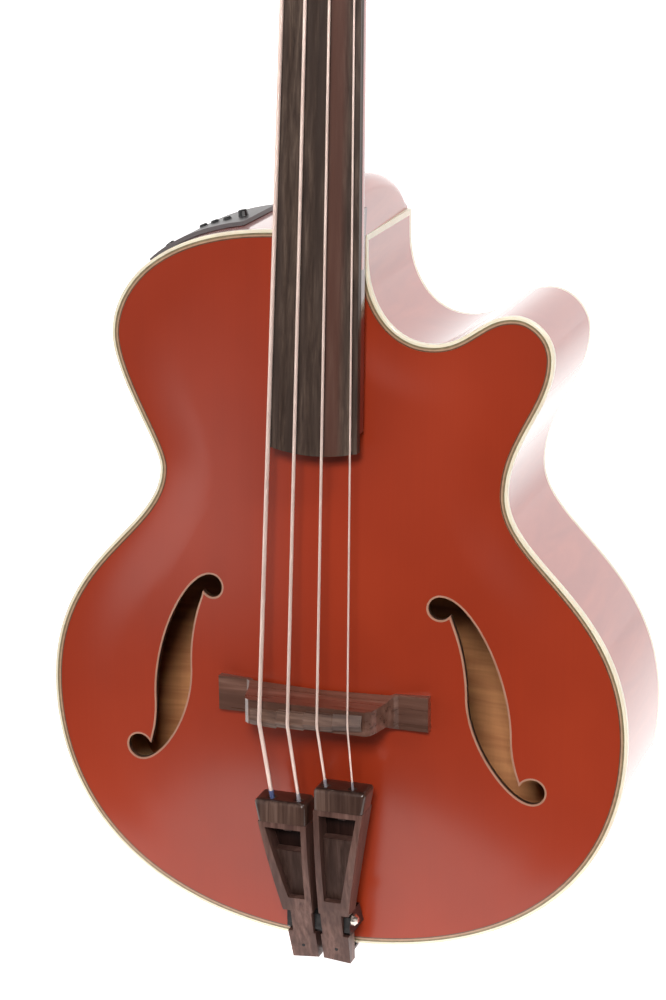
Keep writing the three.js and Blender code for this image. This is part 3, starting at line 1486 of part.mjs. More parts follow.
function addPreamp() {
  add(guitar, 'preamp_panel', preampPanel(), blackPlastic);
  ['volume', 'bass', 'middle', 'treble'].forEach((name, i) => {
    const radius = i === 0 ? volumeKnobRadius : toneKnobRadius;
    const height = i === 0 ? volumeKnobHeight : toneKnobHeight;
    add(guitar, `preamp_knob_${name}`, knob(radius, height, knobOffsets[i]), blackPlastic);
  });
  add(guitar, 'preamp_button', pushButton(), blackPlastic);
}

addBody();
addNeck();
addTuners();
addStrings();
addBridge();
addTailpiece();
addPreamp();

// The part's origin is the middle of the nut's front edge on the fingerboard
guitar.position.copy(nutPoint).negate();

export default guitar;
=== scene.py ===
import math

import bmesh
import bpy
import numpy as np
from mathutils import Matrix, Vector
from mathutils.geometry import delaunay_2d_cdt


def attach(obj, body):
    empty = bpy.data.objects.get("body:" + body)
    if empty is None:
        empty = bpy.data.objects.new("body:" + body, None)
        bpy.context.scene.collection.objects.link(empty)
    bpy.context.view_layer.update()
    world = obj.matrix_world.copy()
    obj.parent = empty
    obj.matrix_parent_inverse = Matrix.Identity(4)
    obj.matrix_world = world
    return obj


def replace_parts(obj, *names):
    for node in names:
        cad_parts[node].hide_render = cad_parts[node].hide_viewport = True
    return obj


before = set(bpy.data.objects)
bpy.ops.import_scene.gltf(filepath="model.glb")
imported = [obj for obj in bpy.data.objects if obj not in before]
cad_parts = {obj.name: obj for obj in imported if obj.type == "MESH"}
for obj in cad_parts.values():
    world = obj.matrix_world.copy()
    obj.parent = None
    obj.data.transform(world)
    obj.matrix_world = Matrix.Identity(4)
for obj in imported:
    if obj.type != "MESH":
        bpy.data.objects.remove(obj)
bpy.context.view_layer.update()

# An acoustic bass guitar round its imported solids. Lengths are millimetres in the body's own
# frame, as in the part's source: x to the treble side, y from front to back with 0 at the
# front binding, and z up the neck with 0 at the bridge. Pieces are placed in metres.
millimetre = 0.001

# Neck line, which gives the place of the frame's origin at the nut
neck_slope_share = 0.082
saddle_over_board = 9.3
saddle_crest = 55.7
scale_length = 864

# Body outline, seen from the front
body_depth = 90
tail_end = -168.5
lower_bout_half_width = 190.5
lower_bout_level = -12.5
waist_half_width = 113
waist_level = 140.5
upper_bout_half_width = 143
upper_bout_level = 224.5
shoulder_level = 296
heel_seat_half_width = 24.3
horn_half_width = 141
horn_side_level = 226.5
horn_tip_offset = 117
horn_tip_level = 252
cutaway_floor_offset = 63.5
cutaway_floor_level = 231.3
cutaway_wall_level = 281
tail_curve_shares = (0.67, 0.55)
flank_curve_shares = (0.59, 0.28)
waist_to_bout_shares = (0.17, 0.33)
waist_to_horn_shares = (0.4, 0.35)
horn_curve_shares = (0.6, 0.45)
cutaway_floor_shares = (0.42, 0.45)
cutaway_wall_shares = (0.6, 0.55)
shoulder_curve_shares = (0.83, 0.3)
outline_step = 3
curve_samples = 400

# Plates, bindings and rim
top_arch = 20
back_arch = 18
arch_centre_level = 40
arch_ease_width = 40
plate_thickness = 3.8
binding_width = 1.8
binding_round = 0.5
purfling_width = 2.9
purfling_depth = 1.4
purfling_shares = (0, 0.4, 0.74, 1)
rim_thickness = 3.2
heel_strip_width = 2.2
heel_strip_height = 3.8
seam_half_width = 0.25
plate_grid = 6
grid_margin = 3
slope_step = 0.5

# F-holes, given for the treble side
upper_eye_offset = 74.8
upper_eye_level = 69.4
upper_eye_radius = 7.9
lower_eye_offset = 131
lower_eye_level = -48.6
lower_eye_radius = 8.9
stem_outer_offset = 118.2
stem_outer_level = -13
stem_inner_offset = 90.8
stem_inner_level = 12
upper_notch_offset = 81.3
upper_notch_level = 63.9
lower_notch_offset = 123.6
lower_notch_level = -44.3
upper_outer_shares = (0.45, 0.45)
lower_outer_shares = (0.6, 0.05)
lower_inner_shares = (0.4, 0.45)
upper_inner_shares = (0.6, 0.05)
hole_binding_width = 1.2
hole_binding_depth = 0.9
hole_step = 1.2
eye_steps = 30

# Strings, lowest first
string_names = ("e", "a", "d", "g")
string_diameters = (2.6, 2.1, 1.65, 1.15)
winding_loops = (2, 2, 2, 2.5)
winding_pitch_gap = 0.5
winding_start = 12.6
spread_at_nut = 32
spread_at_saddle = 57
crown_radius = 190
board_crown_radius = 300
string_seat = 0.3
nut_length = 5
nut_slot_over_board = 0.5
saddle_crest_level = 0.4
saddle_compensation = 3.2
bend_reach = 1.5
string_sides = 14
loop_steps = 48
silk_length = 5.5
silk_thickness = 0.2

# Neck: shaft, heel and tongue under the fingerboard
nut_width = 39.5
board_length = 694
board_end_width = 55.6
board_thickness = 6.5
red_stripe_offsets = (4, 19)
shaft_depth_at_nut = 15
shaft_depth_at_heel = 17.5
shaft_side_depth = 3
shaft_arc_steps = 28
tongue_thickness = 10
tongue_clearance = 0.7
tongue_inset = 1.2
tongue_setback = 12
tongue_steps = 6
heel_reach = 34.5
heel_back_half_width = 22
heel_length = 89
heel_root = 10
heel_steps = 18
heel_corner_share = 0.3
heel_corner_steps = 8
heel_joint = 0.05

# Headstock, posts and what is screwed to it
head_angle = math.radians(12)
head_drop = 4.2
head_start = nut_length + 3 * string_seat
head_thickness = 14
headplate_thickness = 1.6
head_length = 192
head_root_half_width = 20
head_shoulder_half_width = 37
head_shoulder_reach = 46
head_tip_half_width = 41
head_tip_dip = 7
head_tip_crown = 9
head_root_shares = (0.45, 0.4)
head_step = 3
head_bore_radius = 6.9
head_softness = 1.2
cover_screw_places = ((-8, 13), (8, 13), (0, 52))
cover_thickness = 1.5
plate_screw_places = ((-9, 5), (9, 5), (-9, -15.5), (9, -15.5))
tuner_plate_thickness = 1.8
screw_radius = 1.5
screw_height = 0.7
screw_slot_width = 0.35
screw_profile_shares = ((1, -0.5), (1, 0.25), (0.8, 0.7), (0.4, 1))
screw_slot_shares = (0.3, 1.05)
screw_slot_length_share = 0.85
near_post_reach = 58
far_post_reach = 134
near_post_offset = 22
far_post_offset = 19.5
post_radius = 4.6
post_clearance = 0.35

# String holders
bass_finger_top = -56.6
treble_finger_top = -44.6
string_hole_depth = 9
string_hole_height = 39
outer_hole_offset = 26.6
inner_hole_offset = 8.9
holder_length = 14.4
holder_softness = 3
holder_corner_steps = 5
holder_ring_steps = 5
holder_rim_share = 0.9
string_hole_radius = 2.9
finger_depth = 20

# Tailpiece fingers, given for the treble side
finger_bottom = -171.4
finger_inner_top = 2.6
finger_inner_bottom = 1.6
finger_outer_top = 37.2
finger_outer_low = 20.4
finger_low_level = -141
finger_crest = 45.8
finger_tail_height = 23.6
finger_curve_share = 0.5
finger_curve_rise_share = 0.02
window_frame = 3.6
window_top_margin = 4
window_bottom = -124.5
window_bottom_inner = 6.2
window_bottom_outer = 19.2
panel_top_drop = 21
panel_recess = 7.5
inlay_lift = 0.9
pocket_recess = 14
pocket_lift = 0.3
tab_half_width = 2.6
tab_length = 5
tab_lift = 5
inlay_depth = 1.2
inlay_margin = 0.3
inlay_softness = 0.5
inlay_steps = 10
pin_offset = 11
pin_level = -161
pin_radius = 1.1
pin_height = 0.25

# Softened edges of the solids that stay
nut_softness = 0.2
headplate_softness = 0.2
tuner_plate_softness = 0.25
board_softness = 0.3
cover_softness = 0.3
bracket_softness = 0.3
panel_softness = 0.4
saddle_softness = 0.6
finger_softness = 0.8
bridge_softness = 1.3

# Light. A fade is the stretch of a direction's x, y or z over which a tone changes.
paper_strength = 1.6
paper_colour = (1, 0.985, 0.975, 1)
paper_fade = (0.1, 0.5)
paper_top_fade = (0.45, 0.75)
paper_top_share = 0.1
floor_glow = 1.1
flag_line = -165
floor_level = -183.5
floor_reach = 20000
room_strength = 0.07
room_fade = (-0.1, 0.3)
window_strength = 1.3
window_side_fade = (-0.65, -0.33)
window_height_fade = (-0.4, -0.15)
lamp_colour = (1, 0.98, 0.96)
lamp_distance = 2200
key_power = 47
key_direction = (0.2, -0.83, 0.5)
key_size = 420
side_power = 13
side_direction = (0.5, -0.35, 0.78)
side_size = 180

# Camera, fitted to the photograph
camera_place = (549.1, -1597.9, 629.9)
camera_turns = (18.909, -16.527, 0.429)
camera_focal_pixels = 2854.9
camera_sight = 100000
picture_height = 1000
sensor_height = 24

# How deep light goes into cream plastic and bone
scatter_reach = 2

# Meshes, with angles in degrees
weld_distance = 0.0001
turned_sides = 20
circle_steps = 24
sharp_angle = 35
soft_angle = 50
string_sharp_angle = 60
flat_angle = 1
bevel_segments = 3

neck_angle = math.atan(neck_slope_share)
nut_depth = (scale_length * math.sin(neck_angle) + saddle_over_board * math.cos(neck_angle)
             - saddle_crest)
nut_level = scale_length * math.cos(neck_angle) - saddle_over_board * math.sin(neck_angle)


def place(x, y, z):
    """A point of the body's own frame, in millimetres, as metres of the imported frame."""
    return Vector((x, y - nut_depth, z - nut_level)) * millimetre


# Plan curves, as arrays of (x, z)

def bezier(points):
    """A curve of any degree from its control points."""
    share = np.linspace(0, 1, curve_samples + 1)[:, None]
    last = len(points) - 1
    return sum(math.comb(last, k) * (1 - share) ** (last - k) * share ** k * np.array(point, float)
               for k, point in enumerate(points))


def curve_to(start, end, shares, starts_along):
    """A curve whose ends run along x or along z, by shares of the way to its end."""
    start, end = np.array(start, float), np.array(end, float)
    first, last = start.copy(), end.copy()
    leaving, arriving = ("xz".index(along) for along in starts_along)
    first[leaving] += shares[0] * (end - start)[leaving]
    last[arriving] -= shares[1] * (end - start)[arriving]
    return bezier((start, first, last, end))


def arc(centre, radius, start, end, steps=eye_steps):
    turn = np.linspace(start, end, steps + 1)
    return np.array(centre) + radius * np.stack([np.cos(turn), np.sin(turn)], axis=1)


def circle(centre, radius):
    return arc(centre, radius, 0, 2 * math.pi, circle_steps)[:-1]


def flipped(points):
    return (points * [-1, 1])[::-1]


def spaced(line, step, keep_ends=True):
    """Points at an equal step along a dense line."""
    steps = np.linalg.norm(np.diff(line, axis=0), axis=1)
    reach = np.concatenate([[0], np.cumsum(steps)])
    count = max(2, round(reach[-1] / step))
    marks = np.linspace(0, reach[-1], count + 1)
    points = np.stack([np.interp(marks, reach, line[:, k]) for k in range(2)], axis=1)
    return points if keep_ends else points[:-1]


def body_outline():
    """The outline anticlockwise from the middle of the tail."""
    lower = (lower_bout_half_width, lower_bout_level)
    waist = (waist_half_width, waist_level)
    corner = (heel_seat_half_width, shoulder_level)
    bass_corner, bass_waist, bass_lower = ((-x, z) for x, z in (corner, waist, lower))
    stops = [(0, tail_end), lower, waist, (horn_half_width, horn_side_level),
             (horn_tip_offset, horn_tip_level), (cutaway_floor_offset, cutaway_floor_level),
             (heel_seat_half_width, cutaway_wall_level), corner, bass_corner,
             (-upper_bout_half_width, upper_bout_level), bass_waist, bass_lower, (0, tail_end)]
    bends = [(tail_curve_shares, "xz"), (flank_curve_shares, "zz"), (waist_to_horn_shares, "zz"),
             (horn_curve_shares, "zx"), (cutaway_floor_shares, "xx"), (cutaway_wall_shares, "xz"),
             None, None, (shoulder_curve_shares, "xz"), (waist_to_bout_shares[::-1], "zz"),
             (flank_curve_shares[::-1], "zz"), (tail_curve_shares[::-1], "zx")]
    curves = [curve_to(start, end, *bend) if bend else np.array([start, end], float)
              for start, end, bend in zip(stops, stops[1:], bends)]
    return np.concatenate([spaced(curve, outline_step, keep_ends=False) for curve in curves])


def inset(points, distance):
    """Moves every point of a closed anticlockwise outline inward."""
    into = points - np.roll(points, 1, axis=0)
    out = np.roll(points, -1, axis=0) - points
    into /= np.linalg.norm(into, axis=1)[:, None]
    out /= np.linalg.norm(out, axis=1)[:, None]
    left = np.stack([-into[:, 1], into[:, 0]], axis=1)
    normal = left + np.stack([-out[:, 1], out[:, 0]], axis=1)
    normal /= np.linalg.norm(normal, axis=1)[:, None]
    reach = distance / np.sum(normal * left, axis=1)
    return points + normal * reach[:, None]


edge = body_outline()
treble_corner = int(np.argmin(np.hypot(*(edge - (heel_seat_half_width, shoulder_level)).T)))


def hole_outline():
    """The treble f-hole, anticlockwise."""
    upper_start = math.atan2(upper_notch_level - upper_eye_level, upper_notch_offset - upper_eye_offset)
    lower_start = math.atan2(lower_notch_level - lower_eye_level, lower_notch_offset - lower_eye_offset)
    upper_eye = arc((upper_eye_offset, upper_eye_level), upper_eye_radius,
                    upper_start, -3 * math.pi / 2)
    lower_eye = arc((lower_eye_offset, lower_eye_level), lower_eye_radius,
                    lower_start, -math.pi / 2)
    outer = (stem_outer_offset, stem_outer_level)
    inner = (stem_inner_offset, stem_inner_level)
    parts = [upper_eye[:-1], (upper_eye[-1], outer, upper_outer_shares, "xz"),
             (outer, lower_eye[0], lower_outer_shares, "zz"),
             lower_eye[:-1], (lower_eye[-1], inner, lower_inner_shares, "xz"),
             (inner, upper_eye[0], upper_inner_shares, "zz")]
    return np.concatenate([spaced(curve_to(*part), hole_step, keep_ends=False)
                           if isinstance(part, tuple) else part for part in parts])[::-1]


treble_hole = hole_outline()
hole_lines = {"bass": flipped(treble_hole), "treble": treble_hole}


# Arches of the plates

def edge_distance(x, z):
    """The distance to the edge, rounded off where two sides are about as near."""
    middles = (edge + np.roll(edge, -1, axis=0)) / 2
    lengths = np.linalg.norm(np.roll(edge, -1, axis=0) - edge, axis=1)
    pull = np.zeros(len(x))
    for (mid_x, mid_z), length in zip(middles, lengths):
        pull += length / ((x - mid_x) ** 2 + (z - mid_z) ** 2) ** 2
    return (2 / math.pi * pull) ** (-1 / 3)


def arch_share(x, z):
    """A dome over an oval, eased down to the edge all round."""
    reach = np.where(z > arch_centre_level, shoulder_level - arch_centre_level,
                     arch_centre_level - tail_end)
    oval = np.hypot(x / lower_bout_half_width, (z - arch_centre_level) / reach)
    swell = np.cos(math.pi / 2 * np.minimum(oval, 1)) ** 2
    ease = np.clip(edge_distance(x, z) / arch_ease_width, 0, 1)
    return swell * ease ** 2 * (3 - 2 * ease)


def arched(level, arch):
    """A plate surface: depth and slopes at plan points."""
    def surface(points):
        x, z = points[:, 0], points[:, 1]
        middle = level + arch * arch_share(x, z)
        slope_x = arch * (arch_share(x + slope_step, z) - arch_share(x - slope_step, z))
        slope_z = arch * (arch_share(x, z + slope_step) - arch_share(x, z - slope_step))
        return middle, slope_x / (2 * slope_step), slope_z / (2 * slope_step)
    return surface


top_surface = arched(0, -top_arch)
back_surface = arched(body_depth, back_arch)


# Meshes

def make_object(name, points, faces, material):
    mesh = bpy.data.meshes.new(name)
    mesh.from_pydata([tuple(p) for p in points], [], faces)
    mesh.materials.append(material)
    made = bpy.data.objects.new(name, mesh)
    bpy.context.scene.collection.objects.link(made)
    return made


def shade(mesh, sharp):
    """Smooth shading but for the edges that turn by more than the sharp angle."""
    mesh.shade_smooth()
    mesh.set_sharp_from_angle(angle=math.radians(sharp))


def make_piece(name, points, faces, material, sharp=sharp_angle):
    """A named piece of the instrument, from points in metres."""
    piece = make_object(name, points, faces, material)
    piece.data.validate()
    shade(piece.data, sharp)
    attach(piece, "instrument")
    return piece


def inside(points, line):
    """Which plan points lie inside a closed line."""
    x, z = points[:, 0], points[:, 1]
    found = np.zeros(len(points), bool)
    for (ax, az), (bx, bz) in zip(line, np.roll(line, -1, axis=0)):
        if az == bz:
            continue
        crosses = (az > z) != (bz > z)
        found ^= crosses & (x < (bx - ax) * (z - az) / (bz - az) + ax)
    return found


def clear_of(points, line, distance):
    keep = np.ones(len(points), bool)
    for p in line:
        keep &= np.hypot(*(points - p).T) > distance
    return keep


def plan_triangles(outline, holes):
    """Plan points and triangles of a flat sheet with holes, on an even grid inside."""
    low, high = outline.min(axis=0), outline.max(axis=0)
    row_step = plate_grid * math.sqrt(3) / 2
    grid = []
    for row, z in enumerate(np.arange(low[1], high[1], row_step)):
        start = low[0] + (row % 2) * plate_grid / 2
        grid += [(x, z) for x in np.arange(start, high[0], plate_grid)]
    grid = np.array(grid)
    grid = grid[inside(grid, outline)]
    grid = grid[clear_of(grid, outline, grid_margin)]
    for hole in holes:
        grid = grid[~inside(grid, hole)]
        grid = grid[clear_of(grid, hole, grid_margin)]
    loops, sides, start = [outline, *holes], [], 0
    for loop in loops:
        count = len(loop)
        sides += [(start + i, start + (i + 1) % count) for i in range(count)]
        start += count
    every = np.concatenate([*loops, grid])
    found, _, triangles, *_ = delaunay_2d_cdt([Vector(p) for p in every], sides, [], 0, weld_distance)
    found = np.array([tuple(p) for p in found])
    triangles = np.array(triangles)
    middles = found[triangles].mean(axis=1)
    keep = inside(middles, outline)
    for hole in holes:
        keep &= ~inside(middles, hole)
    return found, triangles[keep]


def slab_faces(triangles, count):
    """The faces of a sheet, of its copy a count of points on, and the walls between them."""
    faces = [tuple(int(i) for i in triangle) for triangle in triangles]
    under = [(c + count, b + count, a + count) for a, b, c in faces]
    sides = [side for a, b, c in faces for side in ((a, b), (b, c), (c, a))]
    known = set(sides)
    walls = [(b, a, a + count, b + count) for a, b in sides if (b, a) not in known]
    return faces + under + walls


def band(here, there, count, closed=True):
    """The faces between two rows of points, which are rings unless they stay open."""
    return [(here + i, here + (i + 1) % count, there + (i + 1) % count, there + i)
            for i in range(count if closed else count - 1)]


def outward(points, faces):
    """The faces, turned round if together they face in."""
    volume = 0
    for face in faces:
        first = points[face[0]]
        for second, third in zip(face[1:-1], face[2:]):
            volume += first.dot(points[second].cross(points[third]))
    return faces if volume > 0 else [face[::-1] for face in faces]


def make_plate(name, outline, holes, surface, outside_sign, outside, within):
    """An arched plate: its outside follows the surface and its inside lies a thickness in."""
    plan, triangles = plan_triangles(outline, holes)
    depth, slope_x, slope_z = surface(plan)
    count = len(plan)
    points = [place(x, y - shift * outside_sign, z)
              for shift in (0, plate_thickness) for (x, z), y in zip(plan, depth)]
    ahead = np.stack([-slope_x, np.ones(count), -slope_z], axis=1) * outside_sign
    ahead /= np.linalg.norm(ahead, axis=1)[:, None]
    if outside_sign > 0:
        triangles = triangles[:, ::-1]
    piece = make_piece(name, points, slab_faces(triangles, count), outside)
    piece.data.materials.append(within)
    normals = np.zeros((len(piece.data.loops), 3))
    for polygon in piece.data.polygons:
        corners = [piece.data.loops[i].vertex_index for i in polygon.loop_indices]
        shows = max(corners) < count
        polygon.material_index = 0 if shows else 1
        if len(corners) == 3:
            for loop, corner in zip(polygon.loop_indices, corners):
                normals[loop] = ahead[corner] if shows else -ahead[corner - count]
    piece.data.normals_split_custom_set([tuple(n) for n in normals])
    return piece


def swept_ring(name, section, material, line=None):
    """A closed ring along a plan line: the section's points are (inset, depth or surface)."""
    line = edge if line is None else line
    points, faces, count = [], [], len(line)
    for k, (distance, depth) in enumerate(section):
        loop = inset(line, distance) if distance else line
        depths = depth(loop)[0] if callable(depth) else np.full(count, float(depth))
        points += [place(x, y, z) for (x, z), y in zip(loop, depths)]
        faces += band(k * count, (k + 1) % len(section) * count, count)
    return make_piece(name, points, faces, material)


def swept_strip(name, outer, inner, front, back):
    """An open strip of rim between two plan paths, lacquered on its outer face."""
    points, faces, count = [], [], len(outer)
    paths = ((outer, front), (outer, back), (inner, back), (inner, front))
    for k, (line, depth) in enumerate(paths):
        points += [place(x, depth, z) for x, z in line]
        faces += band(k * count, (k + 1) % len(paths) * count, count, closed=False)
    faces += [tuple(range(0, len(points), count)), tuple(range(len(points) - 1, 0, -count))]
    piece = make_piece(name, points, faces, maple_finish)
    piece.data.materials.append(inside_maple)
    for polygon in piece.data.polygons[count - 1:]:
        polygon.material_index = 1
    return piece


def loft(name, rings, material, sharp=sharp_angle):
    """A closed piece through rings of equally many points, in the body's frame."""
    count = len(rings[0])
    points = [place(*point) for ring in rings for point in ring]
    faces = []
    for start in range(0, (len(rings) - 1) * count, count):
        faces += band(start, start + count, count)
    faces += [tuple(range(count))[::-1], tuple(range(len(points) - count, len(points)))]
    return make_piece(name, points, outward(points, faces), material, sharp)


def oblong(left, right, front, back, z):
    """A four-cornered section of a loft, at a level."""
    return [Vector((x, y, z)) for x, y in ((left, front), (right, front), (right, back), (left, back))]


def tube(name, line, radius, material):
    """A round tube along a line, whose rings turn as little as they can."""
    rings = []
    across = Vector((1, 0, 0))
    turns = [2 * math.pi * k / string_sides for k in range(string_sides)]
    for i, point in enumerate(line):
        along = (line[min(i + 1, len(line) - 1)] - line[max(i - 1, 0)]).normalized()
        across = (across - along * across.dot(along)).normalized()
        up = along.cross(across)
        rings.append([point + (across * math.cos(t) + up * math.sin(t)) * radius for t in turns])
    return loft(name, rings, material, string_sharp_angle)


def turned(name, foot, way, profile, material):
    """A small round metal piece on a foot point: the profile's points are (radius, reach)."""
    turn = way.to_track_quat("Z", "Y").to_matrix()
    turns = [2 * math.pi * k / turned_sides for k in range(turned_sides)]
    rings = [[foot + turn @ Vector((radius * math.cos(t), radius * math.sin(t), reach)) for t in turns]
             for radius, reach in profile]
    return loft(name, rings, material)


def soften(piece, width, limit=soft_angle):
    """Rounds the sharp edges of a piece a little."""
    soft = piece.modifiers.new("soft_edges", "BEVEL")
    soft.width = width * millimetre
    soft.segments = bevel_segments
    soft.limit_method = "ANGLE"
    soft.angle_limit = math.radians(limit)
    soft.harden_normals = True


# Materials

def node_output(tree, kind, output, sockets=(), **settings):
    """An output of a new node, whose sockets take values or other nodes' outputs."""
    node = tree.nodes.new(kind)
    for name, value in settings.items():
        setattr(node, name, value)
    for key, value in dict(sockets).items():
        if isinstance(value, bpy.types.NodeSocket):
            tree.links.new(value, node.inputs[key])
        else:
            node.inputs[key].default_value = value
    return node.outputs[output]


class Finish:
    """One procedural material, built node by node on object coordinates in metres."""

    def __init__(self, name, **values):
        self.material = bpy.data.materials.new(name)
        self.material.use_nodes = True
        self.tree = self.material.node_tree
        self.inputs = self.tree.nodes["Principled BSDF"].inputs
        for socket, value in values.items():
            self.inputs[socket.replace("_", " ")].default_value = value
        self.coordinates = self.output("ShaderNodeTexCoord", "Object")

    def output(self, kind, output, sockets=(), **settings):
        return node_output(self.tree, kind, output, sockets, **settings)

    def stretched(self, scale):
        return self.output("ShaderNodeMapping", "Vector", {"Vector": self.coordinates, "Scale": scale})

    def noise(self, scale, detail=4, roughness=0.5, distortion=0):
        return self.output("ShaderNodeTexNoise", "Fac", {
            "Vector": self.stretched(scale), "Scale": 1, "Detail": detail,
            "Roughness": roughness, "Distortion": distortion})

    def waves(self, scale, direction, distortion=0, detail=0):
        return self.output("ShaderNodeTexWave", "Fac", {
            "Vector": self.stretched(scale), "Scale": 1, "Detail": detail, "Detail Scale": 1,
            "Distortion": distortion}, bands_direction=direction)

    def part(self, source, axis):
        return self.output("ShaderNodeSeparateXYZ", axis, {"Vector": source})

    def ramp(self, source, *stops):
        node = self.tree.nodes.new("ShaderNodeValToRGB")
        self.tree.links.new(source, node.inputs["Fac"])
        elements = node.color_ramp.elements
        while len(elements) < len(stops):
            elements.new(1)
        for element, (position, colour) in zip(elements, stops):
            element.position = position
            element.color = (*colour, 1) if isinstance(colour, tuple) else (colour,) * 3 + (1,)
        return node.outputs["Color"]

    def mixed(self, share, first, second):
        first, second = ((*side, 1) if isinstance(side, tuple) else side for side in (first, second))
        return self.output("ShaderNodeMix", 2, {0: share, 6: first, 7: second}, data_type="RGBA")

    def between(self, source, low, high):
        return self.output("ShaderNodeMapRange", "Result", {
            "Value": source, "To Min": low, "To Max": high})

    def veined(self, grain, share, base, vein):
        return self.mixed(self.between(grain, 0, share), base, vein)

    def finished(self, colour, gloss=None, relief=None):
        """The material, with gloss as (source, low, high) and relief as (source, height, strength)."""
        self.tree.links.new(colour, self.inputs["Base Color"])
        if gloss:
            self.tree.links.new(self.between(*gloss), self.inputs["Roughness"])
        if relief:
            source, height, strength = relief
            bump = self.output("ShaderNodeBump", "Normal", {
                "Height": source, "Distance": height * millimetre, "Strength": strength})
            self.tree.links.new(bump, self.inputs["Normal"])
        return self.material


def red_top():
    """Softwood under transparent red lacquer, rubbed to a soft gloss."""
    made = Finish("red_lacquer_top", Coat_Weight=0.9, Coat_Roughness=0.2, Coat_IOR=1.5,
                  Specular_IOR_Level=0.1)
    base = made.ramp(made.noise((9, 9, 7), detail=3), (0.3, (0.235, 0.024, 0.007)),
                     (0.55, (0.27, 0.028, 0.008)), (0.8, (0.305, 0.034, 0.010)))
    grain = made.noise((900, 60, 9), detail=5, roughness=0.6)
    wood = made.veined(grain, 0.14, base, (0.14, 0.010, 0.005))
    return made.finished(wood, (grain, 0.34, 0.44), (grain, 0.05, 0.25))


def flamed(made, light, deep, flame_scale, grain_scale, roughness=0.55, distortion=0.6,
           vein_share=0.15, vein=(0.13, 0.010, 0.006)):
    """The colour of flamed maple, and the grain that it and the relief share."""
    flame = made.noise(flame_scale, 3, roughness, distortion)
    grain = made.noise(grain_scale, detail=5, roughness=0.6)
    base = made.ramp(flame, (0.3, deep), (0.7, light))
    return made.veined(grain, vein_share, base, vein), grain


def red_maple(name, light, deep):
    """Lightly flamed maple under glossy transparent red lacquer."""
    made = Finish(name, Coat_Weight=1, Coat_Roughness=0.07, Coat_IOR=1.6, Roughness=0.4)
    wood, grain = flamed(made, light, deep, (16, 16, 90), (500, 500, 15))
    return made.finished(wood, relief=(grain, 0.03, 0.1))


def red_back():
    """The back: flamed maple in two mirrored halves that meet in a fine dark seam."""
    made = Finish("red_lacquer_back", Coat_Weight=0.8, Coat_Roughness=0.07, Coat_IOR=1.5, Roughness=0.4)
    made.coordinates = made.output("ShaderNodeVectorMath", "Vector", {0: made.coordinates},
                                   operation="ABSOLUTE")
    wood, grain = flamed(made, (0.37, 0.050, 0.022), (0.22, 0.018, 0.008), (22, 10, 120),
                         (600, 30, 14), distortion=0.8)
    seam = made.output("ShaderNodeMath", "Value", {
        0: made.part(made.coordinates, "X"), 1: seam_half_width * millimetre}, operation="LESS_THAN")
    return made.finished(made.mixed(seam, wood, (0.05, 0.006, 0.004)), relief=(grain, 0.03, 0.1))


def bare_maple():
    """Unfinished flamed maple on the inside of the back and the rim."""
    made = Finish("bare_maple", Roughness=0.55)
    wood, grain = flamed(made, (0.66, 0.30, 0.12), (0.42, 0.155, 0.058), (14, 14, 150),
                         (500, 500, 20), 0.5, 0.5, 0.3, (0.24, 0.10, 0.04))
    return made.finished(wood, relief=(grain, 0.1, 0.3))


def bare_spruce():
    made = Finish("bare_spruce", Roughness=0.7)
    lines = made.waves((600, 10, 10), "X", distortion=1.5, detail=2)
    fibre = made.noise((700, 700, 25), detail=5)
    base = made.ramp(lines, (0.2, (0.62, 0.42, 0.22)), (0.8, (0.50, 0.31, 0.15)))
    wood = made.veined(fibre, 0.3, base, (0.4, 0.24, 0.12))
    return made.finished(wood, relief=(fibre, 0.1, 0.4))


def dark_wood(name, light, deep, streak, low_gloss, high_gloss, grain_scale, gloss=0.0,
              shine=0.5, end_grain_shade=False):
    """Rosewood: long streaks, open pores and a sheen; optionally darker on the faces that look along z,
    partly end grain and partly painted shade on the top faces.
    """
    made = Finish(name, Coat_Weight=gloss, Coat_Roughness=0.1, Specular_IOR_Level=shine)
    streaks = made.noise(grain_scale, detail=6, roughness=0.65, distortion=0.3)
    bands = made.noise(tuple(scale / 4 for scale in grain_scale), detail=3)
    base = made.ramp(streaks, (0.32, deep), (0.5, light), (0.7, streak))
    wood = made.mixed(made.ramp(bands, (0.38, 0.75), (0.6, 0.0)), base, deep)
    # Faces that look along z are darkened: end grain, and painted shade on the top faces.
    if end_grain_shade:
        across = made.part(made.output("ShaderNodeTexCoord", "Normal"), "Z")
        ends = made.output("ShaderNodeMath", "Value", {0: across}, operation="ABSOLUTE")
        wood = made.mixed(made.ramp(ends, (0.6, 0.0), (0.9, 0.8)), wood,
                          tuple(tone * 0.3 for tone in deep))
    pores = made.noise(tuple(scale * 4 for scale in grain_scale), detail=4, roughness=0.7)
    return made.finished(wood, (streaks, low_gloss, high_gloss), (pores, 0.12, 0.4))


def board_wood():
    """The fingerboard: long dark streaks and one reddish stripe on its treble half."""
    made = Finish("fingerboard_wood", Specular_IOR_Level=0.25)
    streaks = made.noise((330, 330, 2.2), detail=6, roughness=0.7, distortion=0.25)
    bands = made.noise((75, 75, 0.8), detail=3, roughness=0.6)
    base = made.ramp(streaks, (0.34, (0.020, 0.011, 0.008)), (0.52, (0.054, 0.034, 0.025)),
                     (0.7, (0.10, 0.069, 0.053)))
    wood = made.mixed(made.ramp(bands, (0.42, 0.85), (0.56, 0.0)), base, (0.026, 0.015, 0.011))
    low, high = (offset * millimetre for offset in red_stripe_offsets)
    stripe = made.output("ShaderNodeMapRange", "Result", {
        "Value": made.part(made.coordinates, "X"), "From Min": low, "From Max": high})
    red = made.ramp(stripe, (0.0, 0.0), (0.3, 0.75), (0.7, 0.75), (1.0, 0.0))
    pores = made.noise((1600, 1600, 40), detail=4, roughness=0.7)
    return made.finished(made.mixed(red, wood, (0.075, 0.028, 0.019)), (streaks, 0.38, 0.5),
                         (pores, 0.1, 0.35))


